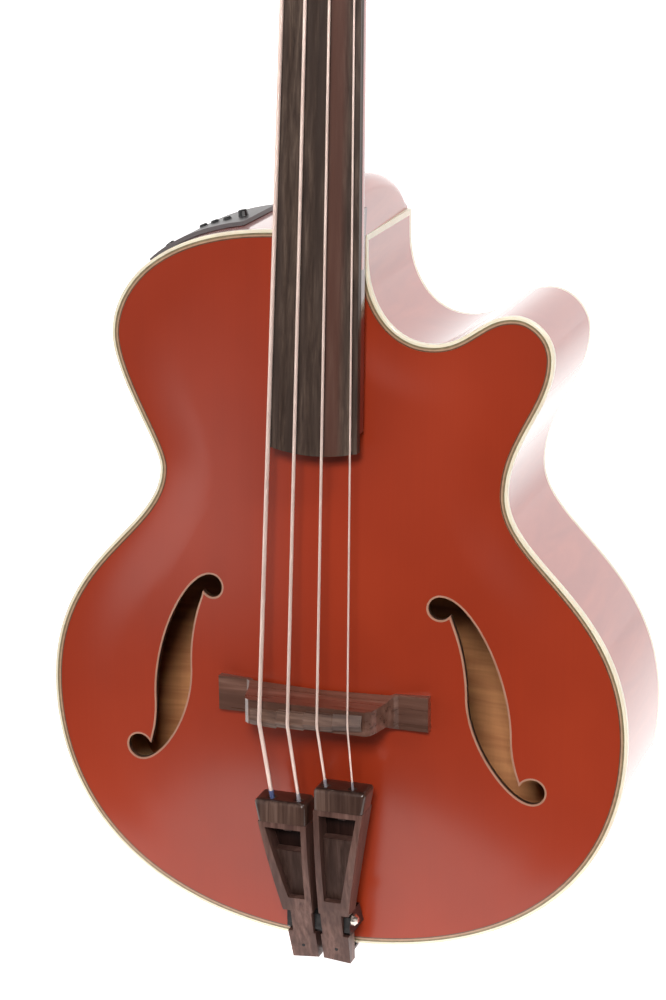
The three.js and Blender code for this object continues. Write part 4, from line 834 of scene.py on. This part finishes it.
def clouded(name, light, deep, scale, gloss, detail=4, roughness=0.5, margin=0.3, relief=None,
            **values):
    """A substance whose tone and gloss drift, with a relief of (scale, detail, height, strength)."""
    made = Finish(name, **values)
    cloud = made.noise(scale, detail, roughness)
    tone = made.ramp(cloud, (margin, deep), (1 - margin, light))
    if relief:
        relief = (made.noise(relief[0], relief[1]), *relief[2:])
    return made.finished(tone, gloss and (cloud, *gloss), relief)


def cream(name, light, deep):
    """Aged cream binding with a rubbed sheen."""
    return clouded(name, light, deep, (60, 60, 60), (0.28, 0.42), margin=0.35,
                   relief=((400, 400, 400), 3, 0.03, 0.2), Coat_Weight=0.4, Coat_Roughness=0.15,
                   Subsurface_Weight=0.05, Subsurface_Scale=scatter_reach * millimetre)


def stained_line(name, light, deep):
    """A thin wooden purfling line."""
    return clouded(name, light, deep, (300, 300, 300), (0.35, 0.5), Coat_Weight=0.5,
                   Coat_Roughness=0.15)


def bone():
    return clouded("bone", (0.83, 0.78, 0.66), (0.72, 0.66, 0.52), (200, 200, 60), (0.35, 0.45),
                   Coat_Weight=0.3, Coat_Roughness=0.2, Subsurface_Weight=0.1,
                   Subsurface_Scale=scatter_reach * millimetre)


def moulded_black(name, tone, low_gloss, high_gloss):
    return clouded(name, tone, tuple(v * 0.85 for v in tone), (900, 900, 900), (low_gloss, high_gloss),
                   detail=3, relief=((900, 900, 900), 3, 0.04, 0.35), Specular_IOR_Level=0.5)


def metal(name, light, deep, low_gloss, high_gloss):
    return clouded(name, light, deep, (150, 150, 150), (low_gloss, high_gloss), detail=5, roughness=0.6,
                   relief=((1500, 1500, 1500), 2, 0.01, 0.2), Metallic=1)


def wound_steel():
    """Round-wound string: a wrap every fraction of a millimetre along the string."""
    made = Finish("wound_string", Metallic=0.6)
    cloud = made.noise((200, 200, 40))
    tone = made.ramp(cloud, (0.3, (0.80, 0.60, 0.53)), (0.7, (0.92, 0.72, 0.64)))
    return made.finished(tone, (cloud, 0.28, 0.38), (made.waves((0, 0, 12000), "Z"), 0.08, 0.5))


def silk(name, tone):
    """Coloured thread wrapped round a string's end."""
    made = Finish(name, Roughness=0.8)
    thread = made.waves((0, 0, 9000), "Z")
    colour = made.ramp(thread, (0.2, tuple(v * 0.6 for v in tone)), (0.8, tone))
    return made.finished(colour, relief=(thread, 0.08, 0.6))


silk_tones = [(0.10, 0.13, 0.30)] + [(0.42, 0.38, 0.42)] * 3
top_finish = red_top()
maple_finish = red_maple("red_lacquer_maple", (0.36, 0.046, 0.020), (0.28, 0.026, 0.012))
# The tongue's red lacquer is darkened: painted shade beside the fingerboard.
tongue_shade_finish = red_maple("red_lacquer_painted_shade", (0.085, 0.006, 0.005), (0.06, 0.004, 0.003))
back_finish = red_back()
inside_maple = bare_maple()
inside_spruce = bare_spruce()
binding_finish = cream("cream_binding", (0.75, 0.68, 0.53), (0.67, 0.59, 0.45))
hole_binding_finish = cream("hole_binding", (0.36, 0.185, 0.125), (0.29, 0.145, 0.095))
hole_wall_finish = stained_line("hole_wall", (0.055, 0.024, 0.014), (0.03, 0.012, 0.007))
purfling_lines = {
    "olive": stained_line("purfling_olive", (0.21, 0.16, 0.085), (0.14, 0.105, 0.055)),
    "tan": stained_line("purfling_tan", (0.40, 0.25, 0.16), (0.32, 0.19, 0.12)),
    "brown": stained_line("purfling_brown", (0.11, 0.045, 0.02), (0.07, 0.027, 0.012)),
}
board_finish = board_wood()
headplate_finish = dark_wood("headplate_wood", (0.055, 0.032, 0.023), (0.025, 0.013, 0.009),
                             (0.09, 0.056, 0.042), 0.25, 0.35, (260, 260, 5), 0.4, 0.3)
tail_finish = dark_wood("tailpiece_wood", (0.105, 0.053, 0.042), (0.05, 0.023, 0.018),
                        (0.15, 0.084, 0.068), 0.34, 0.46, (380, 380, 10), 0.06, 0.22)
# The holders' top faces are darkened: painted shade, with end grain.
holder_finish = dark_wood("holder_wood", (0.075, 0.041, 0.03), (0.032, 0.015, 0.011),
                          (0.12, 0.072, 0.056), 0.28, 0.4, (420, 420, 14), 0.6, 0.2, end_grain_shade=True)
# Window panels in darker wood: painted shade of their recess in the fingers.
inlay_shade_finish = dark_wood("inlay_painted_shade", (0.048, 0.025, 0.019), (0.024, 0.011, 0.008),
                         (0.07, 0.04, 0.032), 0.45, 0.55, (450, 450, 12), 0.0, 0.12)
# Near-black pocket floors: painted shade in the deep pockets of the fingers.
pocket_shade_finish = dark_wood("pocket_painted_shade", (0.02, 0.008, 0.006), (0.01, 0.004, 0.003),
                          (0.03, 0.013, 0.01), 0.5, 0.6, (450, 450, 12), 0.0, 0.1)
bridge_finish = dark_wood("bridge_wood", (0.115, 0.05, 0.034), (0.06, 0.025, 0.016),
                          (0.18, 0.094, 0.07), 0.22, 0.35, (14, 260, 260), 1.0)
saddle_finish = dark_wood("saddle_wood", (0.115, 0.062, 0.044), (0.05, 0.024, 0.017),
                          (0.19, 0.12, 0.092), 0.35, 0.5, (20, 380, 380), 0.05, 0.2)
panel_finish = moulded_black("panel_plastic", (0.10, 0.092, 0.095), 0.35, 0.5)
knob_finish = moulded_black("knob_plastic", (0.012, 0.012, 0.013), 0.3, 0.45)
cover_finish = moulded_black("cover_plastic", (0.015, 0.014, 0.014), 0.12, 0.2)
# Near black: the finger pins' own colour, and painted shade in the screw slots.
pin_black_and_slot_shade = moulded_black("pin_black_and_painted_slot_shade", (0.006, 0.005, 0.005), 0.6, 0.8)
screw_finish = metal("screw_steel", (0.42, 0.41, 0.41), (0.30, 0.29, 0.29), 0.25, 0.4)
black_metal = metal("black_metal", (0.05, 0.048, 0.048), (0.02, 0.019, 0.019), 0.3, 0.45)
brass_finish = metal("brass", (0.80, 0.56, 0.24), (0.62, 0.42, 0.17), 0.2, 0.35)
nickel_finish = metal("nickel", (0.88, 0.78, 0.70), (0.72, 0.62, 0.55), 0.22, 0.32)
chrome_finish = metal("chrome", (0.80, 0.80, 0.82), (0.68, 0.68, 0.70), 0.08, 0.16)
string_finish = wound_steel()
silk_finishes = [silk(f"silk_{k}", tone) for k, tone in enumerate(silk_tones)]


# Body pieces

def build_body():
    purfling_inside = inset(edge, binding_width + purfling_width)
    half = hole_binding_width / 2
    holes = [inset(line, -half) for line in hole_lines.values()]
    top = make_plate("carved_top", purfling_inside, holes, top_surface, -1, top_finish, inside_spruce)
    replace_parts(top, "arched_top")
    back = make_plate("carved_back", inset(edge, binding_width), [], back_surface, 1, back_finish,
                      inside_maple)
    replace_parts(back, "arched_back")
    section = [(binding_round, 0), (0, binding_round), (0, plate_thickness),
               (binding_width, plate_thickness), (binding_width, 0)]
    top_ring = swept_ring("top_binding_ring", section, binding_finish)
    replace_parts(top_ring, "top_binding")
    section = [(distance, body_depth - depth) for distance, depth in section[::-1]]
    back_ring = swept_ring("back_binding_ring", section, binding_finish)
    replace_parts(back_ring, "back_binding")
    for k, (name, material) in enumerate(purfling_lines.items()):
        outer, inner = (binding_width + purfling_width * share for share in purfling_shares[k:k + 2])
        section = [(outer, 0), (outer, purfling_depth), (inner, purfling_depth), (inner, 0)]
        line = swept_ring(f"purfling_line_{name}", section, material)
        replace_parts(line, "top_purfling")
    binding_floor = arched(hole_binding_depth, -top_arch)
    under_surface = arched(plate_thickness, -top_arch)
    layers = (("binding", hole_binding_finish, top_surface, binding_floor),
              ("wall", hole_wall_finish, binding_floor, under_surface))
    for side, line in hole_lines.items():
        for name, material, front, under in layers:
            section = [(-half, front), (-half, under), (half, under), (half, front)]
            ring = swept_ring(f"hole_{name}_ring_{side}", section, material, line)
            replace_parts(ring, f"f_hole_binding_{side}")


def build_rims():
    rim_inside = inset(edge, rim_thickness)
    front, back = plate_thickness, body_depth - plate_thickness
    strip_bottom = shoulder_level - heel_strip_height
    bass_start = heel_seat_half_width - heel_strip_width
    treble = np.concatenate([edge[:treble_corner], [[heel_seat_half_width, strip_bottom]]])
    treble = treble[treble[:, 1] <= strip_bottom + weld_distance]
    treble_inside = np.concatenate([rim_inside[:len(treble) - 1], [[bass_start, strip_bottom]]])
    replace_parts(swept_strip("side_treble", treble, treble_inside, front, back), "rim_treble")
    bass = np.concatenate([[[bass_start, shoulder_level]], edge[treble_corner + 1:], edge[:1]])
    bass_inside = np.concatenate([[[bass_start, shoulder_level - rim_thickness]],
                                  rim_inside[treble_corner + 1:], rim_inside[:1]])
    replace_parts(swept_strip("side_bass", bass, bass_inside, front, back), "rim_bass")
    corners = ((heel_seat_half_width, strip_bottom), (heel_seat_half_width, shoulder_level),
               (bass_start, shoulder_level), (bass_start, strip_bottom))
    rings = [[Vector((x, depth, z)) for x, z in corners] for depth in (front, back)]
    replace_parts(loft("heel_joint_strip", rings, binding_finish), "heel_strip")


# Screws

def screw(name, foot, way, slot_way):
    """A domed screw head with a straight slot."""
    profile = [(screw_radius * width, screw_height * height) for width, height in screw_profile_shares]
    turned(f"{name}_head", foot, way, profile, screw_finish)
    across = way.cross(slot_way).normalized() * screw_slot_width / 2
    along = slot_way.normalized() * screw_radius * screw_slot_length_share
    rings = [[foot + way * screw_height * share + along * a + across * b
              for a, b in ((-1, -1), (1, -1), (1, 1), (-1, 1))] for share in screw_slot_shares]
    # The slot is a near-black bar through the dome: painted shade of the slot.
    loft(f"{name}_slot", rings, pin_black_and_slot_shade)


def build_screws():
    """Small screws of the truss rod cover and of the tuner plates."""
    turn = head_matrix.to_3x3()
    forward, up = turn @ Vector((0, -1, 0)), turn @ Vector((0, 0, 1))
    for k, (x, reach) in enumerate(cover_screw_places):
        foot = head_matrix @ Vector((x, -string_seat - cover_thickness, reach))
        screw(f"cover_screw_{k}", foot, forward, up + turn @ Vector((k, 0, 0)))
    back = headplate_thickness + head_thickness + 2 * string_seat + tuner_plate_thickness
    for k, name in enumerate(string_names):
        offset, post = post_place(k)
        for i, (x, reach) in enumerate(plate_screw_places):
            foot = head_matrix @ Vector((string_side(k) * offset + x, back, post + reach))
            screw(f"tuner_screw_{name}_{i}", foot, -forward, up + turn @ Vector((i - k, 0, 0)))


# Strings

neck_matrix = (Matrix.Translation((0, nut_depth, nut_level))
               @ Matrix.Rotation(-neck_angle, 4, "X"))
head_matrix = (neck_matrix @ Matrix.Translation((0, head_drop, head_start))
               @ Matrix.Rotation(-head_angle, 4, "X"))


def string_offset(k, spread):
    return spread * (k / (len(string_names) - 1) - 1 / 2)


def string_side(k):
    """-1 for the strings of the bass side and 1 for those of the treble side."""
    return -1 if string_offset(k, 1) < 0 else 1


def is_outer(k):
    return k in (0, len(string_names) - 1)


def post_place(k):
    """The offset and the reach of a string's post."""
    return (near_post_offset, near_post_reach) if is_outer(k) else (far_post_offset, far_post_reach)


def finger_top(side):
    return treble_finger_top if side > 0 else bass_finger_top


def crown_drop(x, radius):
    return x * x / (2 * radius)


def holder_mouth(k):
    """Where a string enters its holder."""
    offset = outer_hole_offset if is_outer(k) else inner_hole_offset
    return Vector((string_side(k) * offset, -string_hole_height, finger_top(string_side(k))))


def saddle_crossing(k):
    x = string_offset(k, spread_at_saddle)
    depth = crown_drop(x, crown_radius) - saddle_crest - string_diameters[k] / 2 - string_seat
    return Vector((x, depth, saddle_crest_level + string_offset(k, saddle_compensation)))


def nut_crossing(k):
    x = string_offset(k, spread_at_nut)
    slot = crown_drop(x, board_crown_radius) - nut_slot_over_board
    depth = slot - string_diameters[k] / 2 - string_seat
    return neck_matrix @ Vector((x, depth, string_seat + nut_length / 2))


def eased(before, bend, after):
    """A sharp bend eased by two points beside it."""
    back = (before - bend).normalized() * bend_reach
    on = (after - bend).normalized() * bend_reach
    return [bend + back, bend + on]


def winding(k):
    """The string's turns round its post."""
    offset, reach = post_place(k)
    radius = post_radius + post_clearance + string_diameters[k] / 2
    pitch = string_diameters[k] + winding_pitch_gap
    line = []
    for i in range(int(winding_loops[k] * loop_steps) + 1):
        turn = 2 * math.pi * i / loop_steps
        line.append(Vector((string_side(k) * (offset - radius * math.cos(turn)),
                            pitch * i / loop_steps - winding_start, reach + radius * math.sin(turn))))
    line.append(line[-1] + (line[-1] - line[-2]).normalized() * string_diameters[k])
    return [head_matrix @ point for point in line]


def build_strings():
    """Each string with the silk sleeve on its end, from its holder to its post."""
    for k, name in enumerate(string_names):
        radius = string_diameters[k] / 2
        mouth, saddle, nut = holder_mouth(k), saddle_crossing(k), nut_crossing(k)
        turns = winding(k)
        inward = (mouth - saddle).normalized()
        end = mouth + inward * (string_hole_depth - 2 * string_seat)
        line = [end, mouth, *eased(mouth, saddle, nut), *eased(saddle, nut, turns[0]), *turns]
        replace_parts(tube(f"wound_string_{name}", line, radius, string_finish), f"string_{name}")
        ends = [mouth + inward, mouth - inward * silk_length]
        sleeve = tube(f"string_silk_{name}", ends, radius + silk_thickness, silk_finishes[k])
        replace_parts(sleeve, f"string_{name}")


# Neck

def board_width(reach):
    """The fingerboard's width, by the distance below the nut."""
    return nut_width + (board_end_width - nut_width) * reach / board_length


def shaft_ring(reach, depth, flat=False):
    """A section of the neck, clear of the body's front where it runs over it."""
    half = board_width(reach) / 2
    top = board_thickness + string_seat
    bulge = depth - shaft_side_depth
    turns = [math.pi * i / shaft_arc_steps for i in range(shaft_arc_steps + 1)]
    points = [(half, top), *((half * math.cos(turn), top + shaft_side_depth + bulge * math.sin(turn))
                             for turn in turns), (-half, top)]
    ring = [neck_matrix @ Vector((x, y, -reach)) for x, y in points]
    if flat:
        for point in ring:
            point.y = min(point.y, -tongue_clearance)
    return ring


def build_shaft():
    seat_reach = (nut_level - shoulder_level) / math.cos(neck_angle)
    last = seat_reach - (board_thickness + shaft_depth_at_heel) * math.sin(neck_angle)
    rings = [shaft_ring(-head_start, shaft_depth_at_nut),
             shaft_ring(seat_reach - 2 * heel_reach, shaft_depth_at_heel),
             shaft_ring(last, shaft_depth_at_heel),
             shaft_ring(last, shaft_depth_at_heel, flat=True),
             shaft_ring(seat_reach + heel_reach / 2, shaft_depth_at_heel, flat=True)]
    return loft("neck_shaft", rings, maple_finish, soft_angle)


def heel_ring(depth):
    half = heel_seat_half_width + (heel_back_half_width - heel_seat_half_width) * depth / body_depth
    reach = heel_reach * math.sqrt(1 - (max(depth, 0) / body_depth) ** 2)
    corner = min(reach, heel_reach * heel_corner_share)
    bottom = shoulder_level + heel_joint
    ring = [Vector((-half, depth, bottom)), Vector((half, depth, bottom))]
    for side in (1, -1):
        for i in range(heel_corner_steps + 1):
            share = i / heel_corner_steps if side > 0 else 1 - i / heel_corner_steps
            turn = math.pi / 2 * share
            ring.append(Vector((side * (half - corner * (1 - math.cos(turn))), depth,
                                bottom + reach - corner * (1 - math.sin(turn)))))
    return ring


def build_heel():
    depths = [-heel_root, -heel_root / 2]
    depths += [heel_length * math.sin(math.pi / 2 * i / heel_steps) for i in range(heel_steps + 1)]
    rings = [heel_ring(depth) for depth in depths]
    return loft("neck_heel", rings, maple_finish, soft_angle)


def build_tongue():
    """The part of the neck that runs on under the fingerboard, over the top."""
    rings = []
    start = shoulder_level + heel_reach / 2
    end = nut_level - board_length + tongue_setback
    for i in range(tongue_steps + 1):
        z = start + (end - start) * i / tongue_steps
        half = board_width(nut_level - z) / 2 - tongue_inset
        drop = board_thickness + string_seat
        reach = (z - nut_level + drop * math.sin(neck_angle)) / math.cos(neck_angle)
        top = nut_depth + drop * math.cos(neck_angle) + reach * math.sin(neck_angle)
        under = min(float(top_surface(np.array([[0, z]]))[0][0]) - tongue_clearance,
                    top + tongue_thickness)
        bottom = -tongue_clearance if z > shoulder_level else under
        rings.append(oblong(-half, half, top, bottom, z))
    # Its darker lacquer is painted shade beside the fingerboard.
    return loft("neck_tongue", rings, tongue_shade_finish)


def head_outline():
    """The headstock's outline in its own frame, anticlockwise from its treble root."""
    root = (head_root_half_width, 0)
    shoulder = (head_shoulder_half_width, head_shoulder_reach)
    tip = (head_tip_half_width, head_length - head_tip_crown)
    crown = (head_tip_half_width / 2, head_length + head_tip_crown)
    crest = bezier((tip, crown, (0, head_length - head_tip_dip)))
    treble = np.concatenate([
        spaced(curve_to(root, shoulder, head_root_shares, "zz"), head_step, keep_ends=False),
        spaced(np.array([shoulder, tip], float), head_step, keep_ends=False), spaced(crest, head_step)])
    return np.concatenate([treble, flipped(treble)[1:]])


def build_headstock():
    posts = [post_place(k) for k in (0, 1)]
    holes = [circle((side * offset, reach), head_bore_radius)
             for side in (-1, 1) for offset, reach in posts]
    plan, triangles = plan_triangles(head_outline(), holes)
    front = headplate_thickness + string_seat
    points = [place(*(head_matrix @ Vector((x, depth, z))))
              for depth in (front, front + head_thickness) for x, z in plan]
    faces = outward(points, slab_faces(triangles, len(plan)))
    head = make_piece("headstock", points, faces, maple_finish)
    soften(head, head_softness)
    return head


def build_neck():
    for piece in (build_shaft(), build_heel(), build_tongue(), build_headstock()):
        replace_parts(piece, "neck")


# Tailpiece: string holders, inlays and pins

def finger_depth_at(z, top, recess=0.0):
    """The depth of a finger's front, or of a floor let into it, at a level."""
    crest, tail = finger_crest - recess, finger_tail_height - recess / 2
    bend = (top + (finger_bottom - top) * finger_curve_share,
            crest + (tail - crest) * finger_curve_rise_share)
    line = bezier(((top, crest), bend, (finger_bottom, tail)))
    return -float(np.interp(-z, -line[:, 0], line[:, 1]))


def inner_edge_at(z, top):
    share = (top - z) / (top - finger_bottom)
    return finger_inner_top + (finger_inner_bottom - finger_inner_top) * share


def outer_edge_at(z, top):
    share = (top - z) / (top - finger_low_level)
    return finger_outer_top + (finger_outer_low - finger_outer_top) * share


def window_edges(z, top):
    """The inner and outer sides of a finger's window at a level."""
    window_top = top - holder_length - window_top_margin
    inner_top = inner_edge_at(window_top, top) + window_frame
    outer_top = outer_edge_at(window_top, top) - window_frame
    share = (window_top - z) / (window_top - window_bottom)
    inner = inner_top + (window_bottom_inner - inner_top) * share
    outer = outer_top + (window_bottom_outer - window_frame / 2 - outer_top) * share
    return inner, outer


def floor_piece(name, side, bottom, upper, recess, lift, material):
    """A thin piece on the floor of a finger's window, between two levels."""
    top = finger_top(side)
    rings = []
    for z in np.linspace(bottom + inlay_margin, upper - inlay_margin, inlay_steps + 1):
        inner, outer = window_edges(z, top)
        floor = finger_depth_at(z, top, recess)
        rings.append(oblong(side * (inner + inlay_margin), side * (outer - inlay_margin),
                            floor - lift, floor + inlay_depth, z))
    return loft(name, rings, material)


def build_window(side, name):
    """The darker panel of a finger, the dark floor of its pocket and the tab above it; the darkness of
    panel and floor is painted shade of their recesses.
    """
    top = finger_top(side)
    window_top = top - holder_length - window_top_margin
    panel_top = top - holder_length - string_seat - panel_top_drop
    panel = floor_piece(f"finger_inlay_{name}", side, window_bottom, panel_top, panel_recess,
                        inlay_lift, inlay_shade_finish)
    soften(panel, inlay_softness)
    floor_piece(f"finger_pocket_{name}", side, panel_top, window_top, pocket_recess, pocket_lift,
                pocket_shade_finish)
    middle = side * sum(window_edges(window_top, top)) / 2
    rings = []
    for z in (window_top - tab_length, window_top):
        floor = finger_depth_at(z, top, pocket_recess)
        rings.append(oblong(middle - tab_half_width, middle + tab_half_width,
                            floor, floor - tab_lift, z))
    tab = loft(f"finger_tab_{name}", rings, tail_finish)
    soften(tab, inlay_softness)


def holder_ring(side, z, shrink):
    """A rounded section of a string holder, as plan points (x, depth)."""
    top = finger_top(side)
    left, right = sorted((side * inner_edge_at(z, top), side * outer_edge_at(z, top)))
    left, right = left + holder_softness, right - holder_softness
    front, back = holder_softness - finger_crest, finger_depth - finger_crest - holder_softness
    middles = ((right, back), (left, back), (left, front), (right, front))
    quarter = math.pi / 2
    return np.concatenate([arc(middle, holder_softness - shrink, k * quarter, (k + 1) * quarter,
                               holder_corner_steps) for k, middle in enumerate(middles)])


def build_holder(side, name):
    """A string holder with soft edges and the two bores that its strings run into."""
    top = finger_top(side)
    sections = [(top - holder_length, 0), (top - holder_softness, 0)]
    for i in range(1, holder_ring_steps + 1):
        turn = math.pi / 2 * i / holder_ring_steps * holder_rim_share
        sections.append((top - holder_softness * (1 - math.sin(turn)),
                         holder_softness * (1 - math.cos(turn))))
    rings = [holder_ring(side, z, shrink) for z, shrink in sections]
    count = len(rings[0])
    points = [Vector((x, y, z)) for ring, (z, _) in zip(rings, sections) for x, y in ring]
    faces = [tuple(range(count))[::-1]]
    for start in range(0, (len(rings) - 1) * count, count):
        faces += band(start, start + count, count)
    strings = [k for k in range(len(string_names)) if string_side(k) == side]
    holes = [circle(holder_mouth(k).xy, string_hole_radius) for k in strings]
    plan, triangles = plan_triangles(rings[-1], holes)
    faces += [tuple(len(points) + int(i) for i in triangle) for triangle in triangles]
    face_level = sections[-1][0]
    points += [Vector((x, y, face_level)) for x, y in plan]
    for k, hole in zip(strings, holes):
        way = (holder_mouth(k) - saddle_crossing(k)).normalized() * string_hole_depth
        start, around = len(points), len(hole)
        points += [Vector((x, y, face_level)) + way * share for share in (0, 1) for x, y in hole]
        faces += band(start + around, start, around) + [tuple(range(start + around, len(points)))]
    points = [place(*point) for point in points]
    piece = make_piece(f"holder_{name}", points, outward(points, faces), holder_finish,
                       soft_angle)
    weld(piece)
    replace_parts(piece, f"string_holder_{name}")


def weld(piece):
    """Joins points of a piece that lie on each other."""
    mesh = bmesh.new()
    mesh.from_mesh(piece.data)
    bmesh.ops.remove_doubles(mesh, verts=mesh.verts, dist=weld_distance * millimetre)
    bmesh.ops.recalc_face_normals(mesh, faces=mesh.faces)
    mesh.to_mesh(piece.data)
    mesh.free()
    shade(piece.data, soft_angle)


def build_tail_details():
    profile = ((pin_radius, -pin_height), (pin_radius, pin_height / 2), (pin_radius / 2, pin_height))
    for side, name in ((-1, "bass"), (1, "treble")):
        build_window(side, name)
        build_holder(side, name)
        foot = Vector((side * pin_offset, finger_depth_at(pin_level, finger_top(side)), pin_level))
        turned(f"finger_pin_{name}", foot, Vector((0, -1, 0)), profile, pin_black_and_slot_shade)


# Dressing of the solids that stay

def dress(names, material, softness=0.0):
    """Gives solids a material, softened edges and smooth shading between sharp edges."""
    for name in names:
        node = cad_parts[name]
        node.data.materials.clear()
        node.data.materials.append(material)
        node.data.shade_smooth()
        if softness:
            flat = node.modifiers.new("flat_faces", "DECIMATE")
            flat.decimate_type = "DISSOLVE"
            flat.angle_limit = math.radians(flat_angle)
            soften(node, softness, sharp_angle)
        else:
            split = node.modifiers.new("sharp_edges", "EDGE_SPLIT")
            split.split_angle = math.radians(sharp_angle)


def dress_solids():
    tuners = {kind: [f"tuner_{kind}_{name}" for name in string_names]
              for kind in ("ferrule", "plate", "key", "post")}
    knobs = [f"preamp_knob_{name}" for name in ("volume", "bass", "middle", "treble")]
    dress(["top_lining", "back_lining", "neck_block", "end_block", "tone_bar_bass", "tone_bar_treble"],
          inside_spruce)
    dress(["fingerboard"], board_finish, board_softness)
    dress(["headplate"], headplate_finish, headplate_softness)
    dress(["bridge_base"], bridge_finish, bridge_softness)
    dress(["bridge_saddle"], saddle_finish, saddle_softness)
    dress(["tail_finger_bass", "tail_finger_treble"], tail_finish, finger_softness)
    dress(["nut"], bone(), nut_softness)
    dress(["truss_rod_cover"], cover_finish, cover_softness)
    dress(["preamp_panel"], panel_finish, panel_softness)
    dress([*knobs, "preamp_button"], knob_finish)
    dress([*tuners["ferrule"], "end_pin"], chrome_finish)
    dress(tuners["plate"], black_metal, tuner_plate_softness)
    dress(tuners["key"], black_metal)
    dress(["tail_bracket"], black_metal, bracket_softness)
    dress(tuners["post"], brass_finish)
    dress(["tail_hinge_rod"], nickel_finish)


# Camera, light and floor

def build_camera():
    yaw, pitch, roll = (math.radians(turn) for turn in camera_turns)
    turn = (Matrix.Rotation(yaw, 3, "Z") @ Matrix.Rotation(pitch, 3, "X")
            @ Matrix.Rotation(roll, 3, "Y"))
    look = Matrix.Rotation(math.pi / 2, 3, "X")
    data = bpy.data.cameras.new("camera")
    data.sensor_fit = "VERTICAL"
    data.sensor_height = sensor_height
    data.lens = camera_focal_pixels * sensor_height / picture_height
    data.clip_end = camera_sight * millimetre
    camera = bpy.data.objects.new("camera", data)
    camera.matrix_world = Matrix.Translation(place(*camera_place)) @ (turn @ look).to_4x4()
    bpy.context.scene.collection.objects.link(camera)
    bpy.context.scene.camera = camera


def area_light(name, direction, size, power):
    """A square lamp at the lamps' distance, aimed at the middle of the arch."""
    aim = place(0, 0, arch_centre_level)
    way = Vector(direction).normalized()
    data = bpy.data.lights.new(name, "AREA")
    data.size = size * millimetre
    data.energy = power
    data.color = lamp_colour
    light = bpy.data.objects.new(name, data)
    light.location = aim + way * lamp_distance * millimetre
    light.rotation_euler = (-way).to_track_quat("-Z", "Y").to_euler()
    bpy.context.scene.collection.objects.link(light)


def studio_world():
    """White paper behind, a dim room in front and a window on the bass side, by direction only."""
    world = bpy.data.worlds.new("studio")
    world.use_nodes = True
    tree = world.node_tree
    way = node_output(tree, "ShaderNodeTexCoord", "Generated")

    def fade(axis, ends, low=0.0, high=1.0):
        part = node_output(tree, "ShaderNodeSeparateXYZ", axis, {"Vector": way})
        return node_output(tree, "ShaderNodeMapRange", "Result", {
            "Value": part, "From Min": ends[0], "From Max": ends[1], "To Min": low, "To Max": high,
        }, interpolation_type="SMOOTHSTEP")

    def combined(operation, first, second):
        return node_output(tree, "ShaderNodeMath", "Value", {0: first, 1: second}, operation=operation)

    paper = combined("MULTIPLY", fade("Y", paper_fade, 0, paper_strength),
                     fade("Z", paper_top_fade, 1, paper_top_share))
    window = combined("MULTIPLY", fade("X", window_side_fade, window_strength, 0),
                      fade("Z", window_height_fade))
    room = combined("MULTIPLY", fade("Y", room_fade, 1, 0), combined("ADD", window, room_strength))
    background = tree.nodes["Background"]
    background.inputs["Color"].default_value = paper_colour
    tree.links.new(combined("ADD", paper, room), background.inputs["Strength"])
    bpy.context.scene.world = world


def paper_sheet(name, paper, low, high, lights=True):
    """A flat sheet from the (y, z) corner low to the (y, z) corner high, as wide as the floor."""
    corners = [place(x, y, z) for x, (y, z) in (
        (-floor_reach, low), (floor_reach, low), (floor_reach, high), (-floor_reach, high))]
    sheet = make_object(name, corners, [(0, 1, 2, 3)], paper)
    sheet.visible_glossy = sheet.visible_diffuse = sheet.visible_shadow = lights


def build_floor():
    """The floor lit from below, a part of it in front that lights nothing, and a wall at its end."""
    paper = clouded("pale_paper", (0.62, 0.615, 0.61), (0.58, 0.575, 0.57), (8, 8, 8), None, detail=3,
                    Roughness=0.9, Specular_IOR_Level=0.1, Emission_Color=paper_colour,
                    Emission_Strength=floor_glow)
    paper_sheet("floor", paper, (flag_line, floor_level), (floor_reach, floor_level))
    paper_sheet("floor_front", paper, (-floor_reach, floor_level), (flag_line, floor_level), False)
    paper_sheet("wall_front", paper, (-floor_reach, floor_level), (-floor_reach, floor_reach), False)


def build_studio():
    build_floor()
    studio_world()
    area_light("key", key_direction, key_size, key_power)
    area_light("side", side_direction, side_size, side_power)
    bpy.context.scene.view_settings.view_transform = "Standard"


build_camera()
build_studio()
build_body()
build_rims()
build_neck()
build_screws()
build_strings()
build_tail_details()
dress_solids()
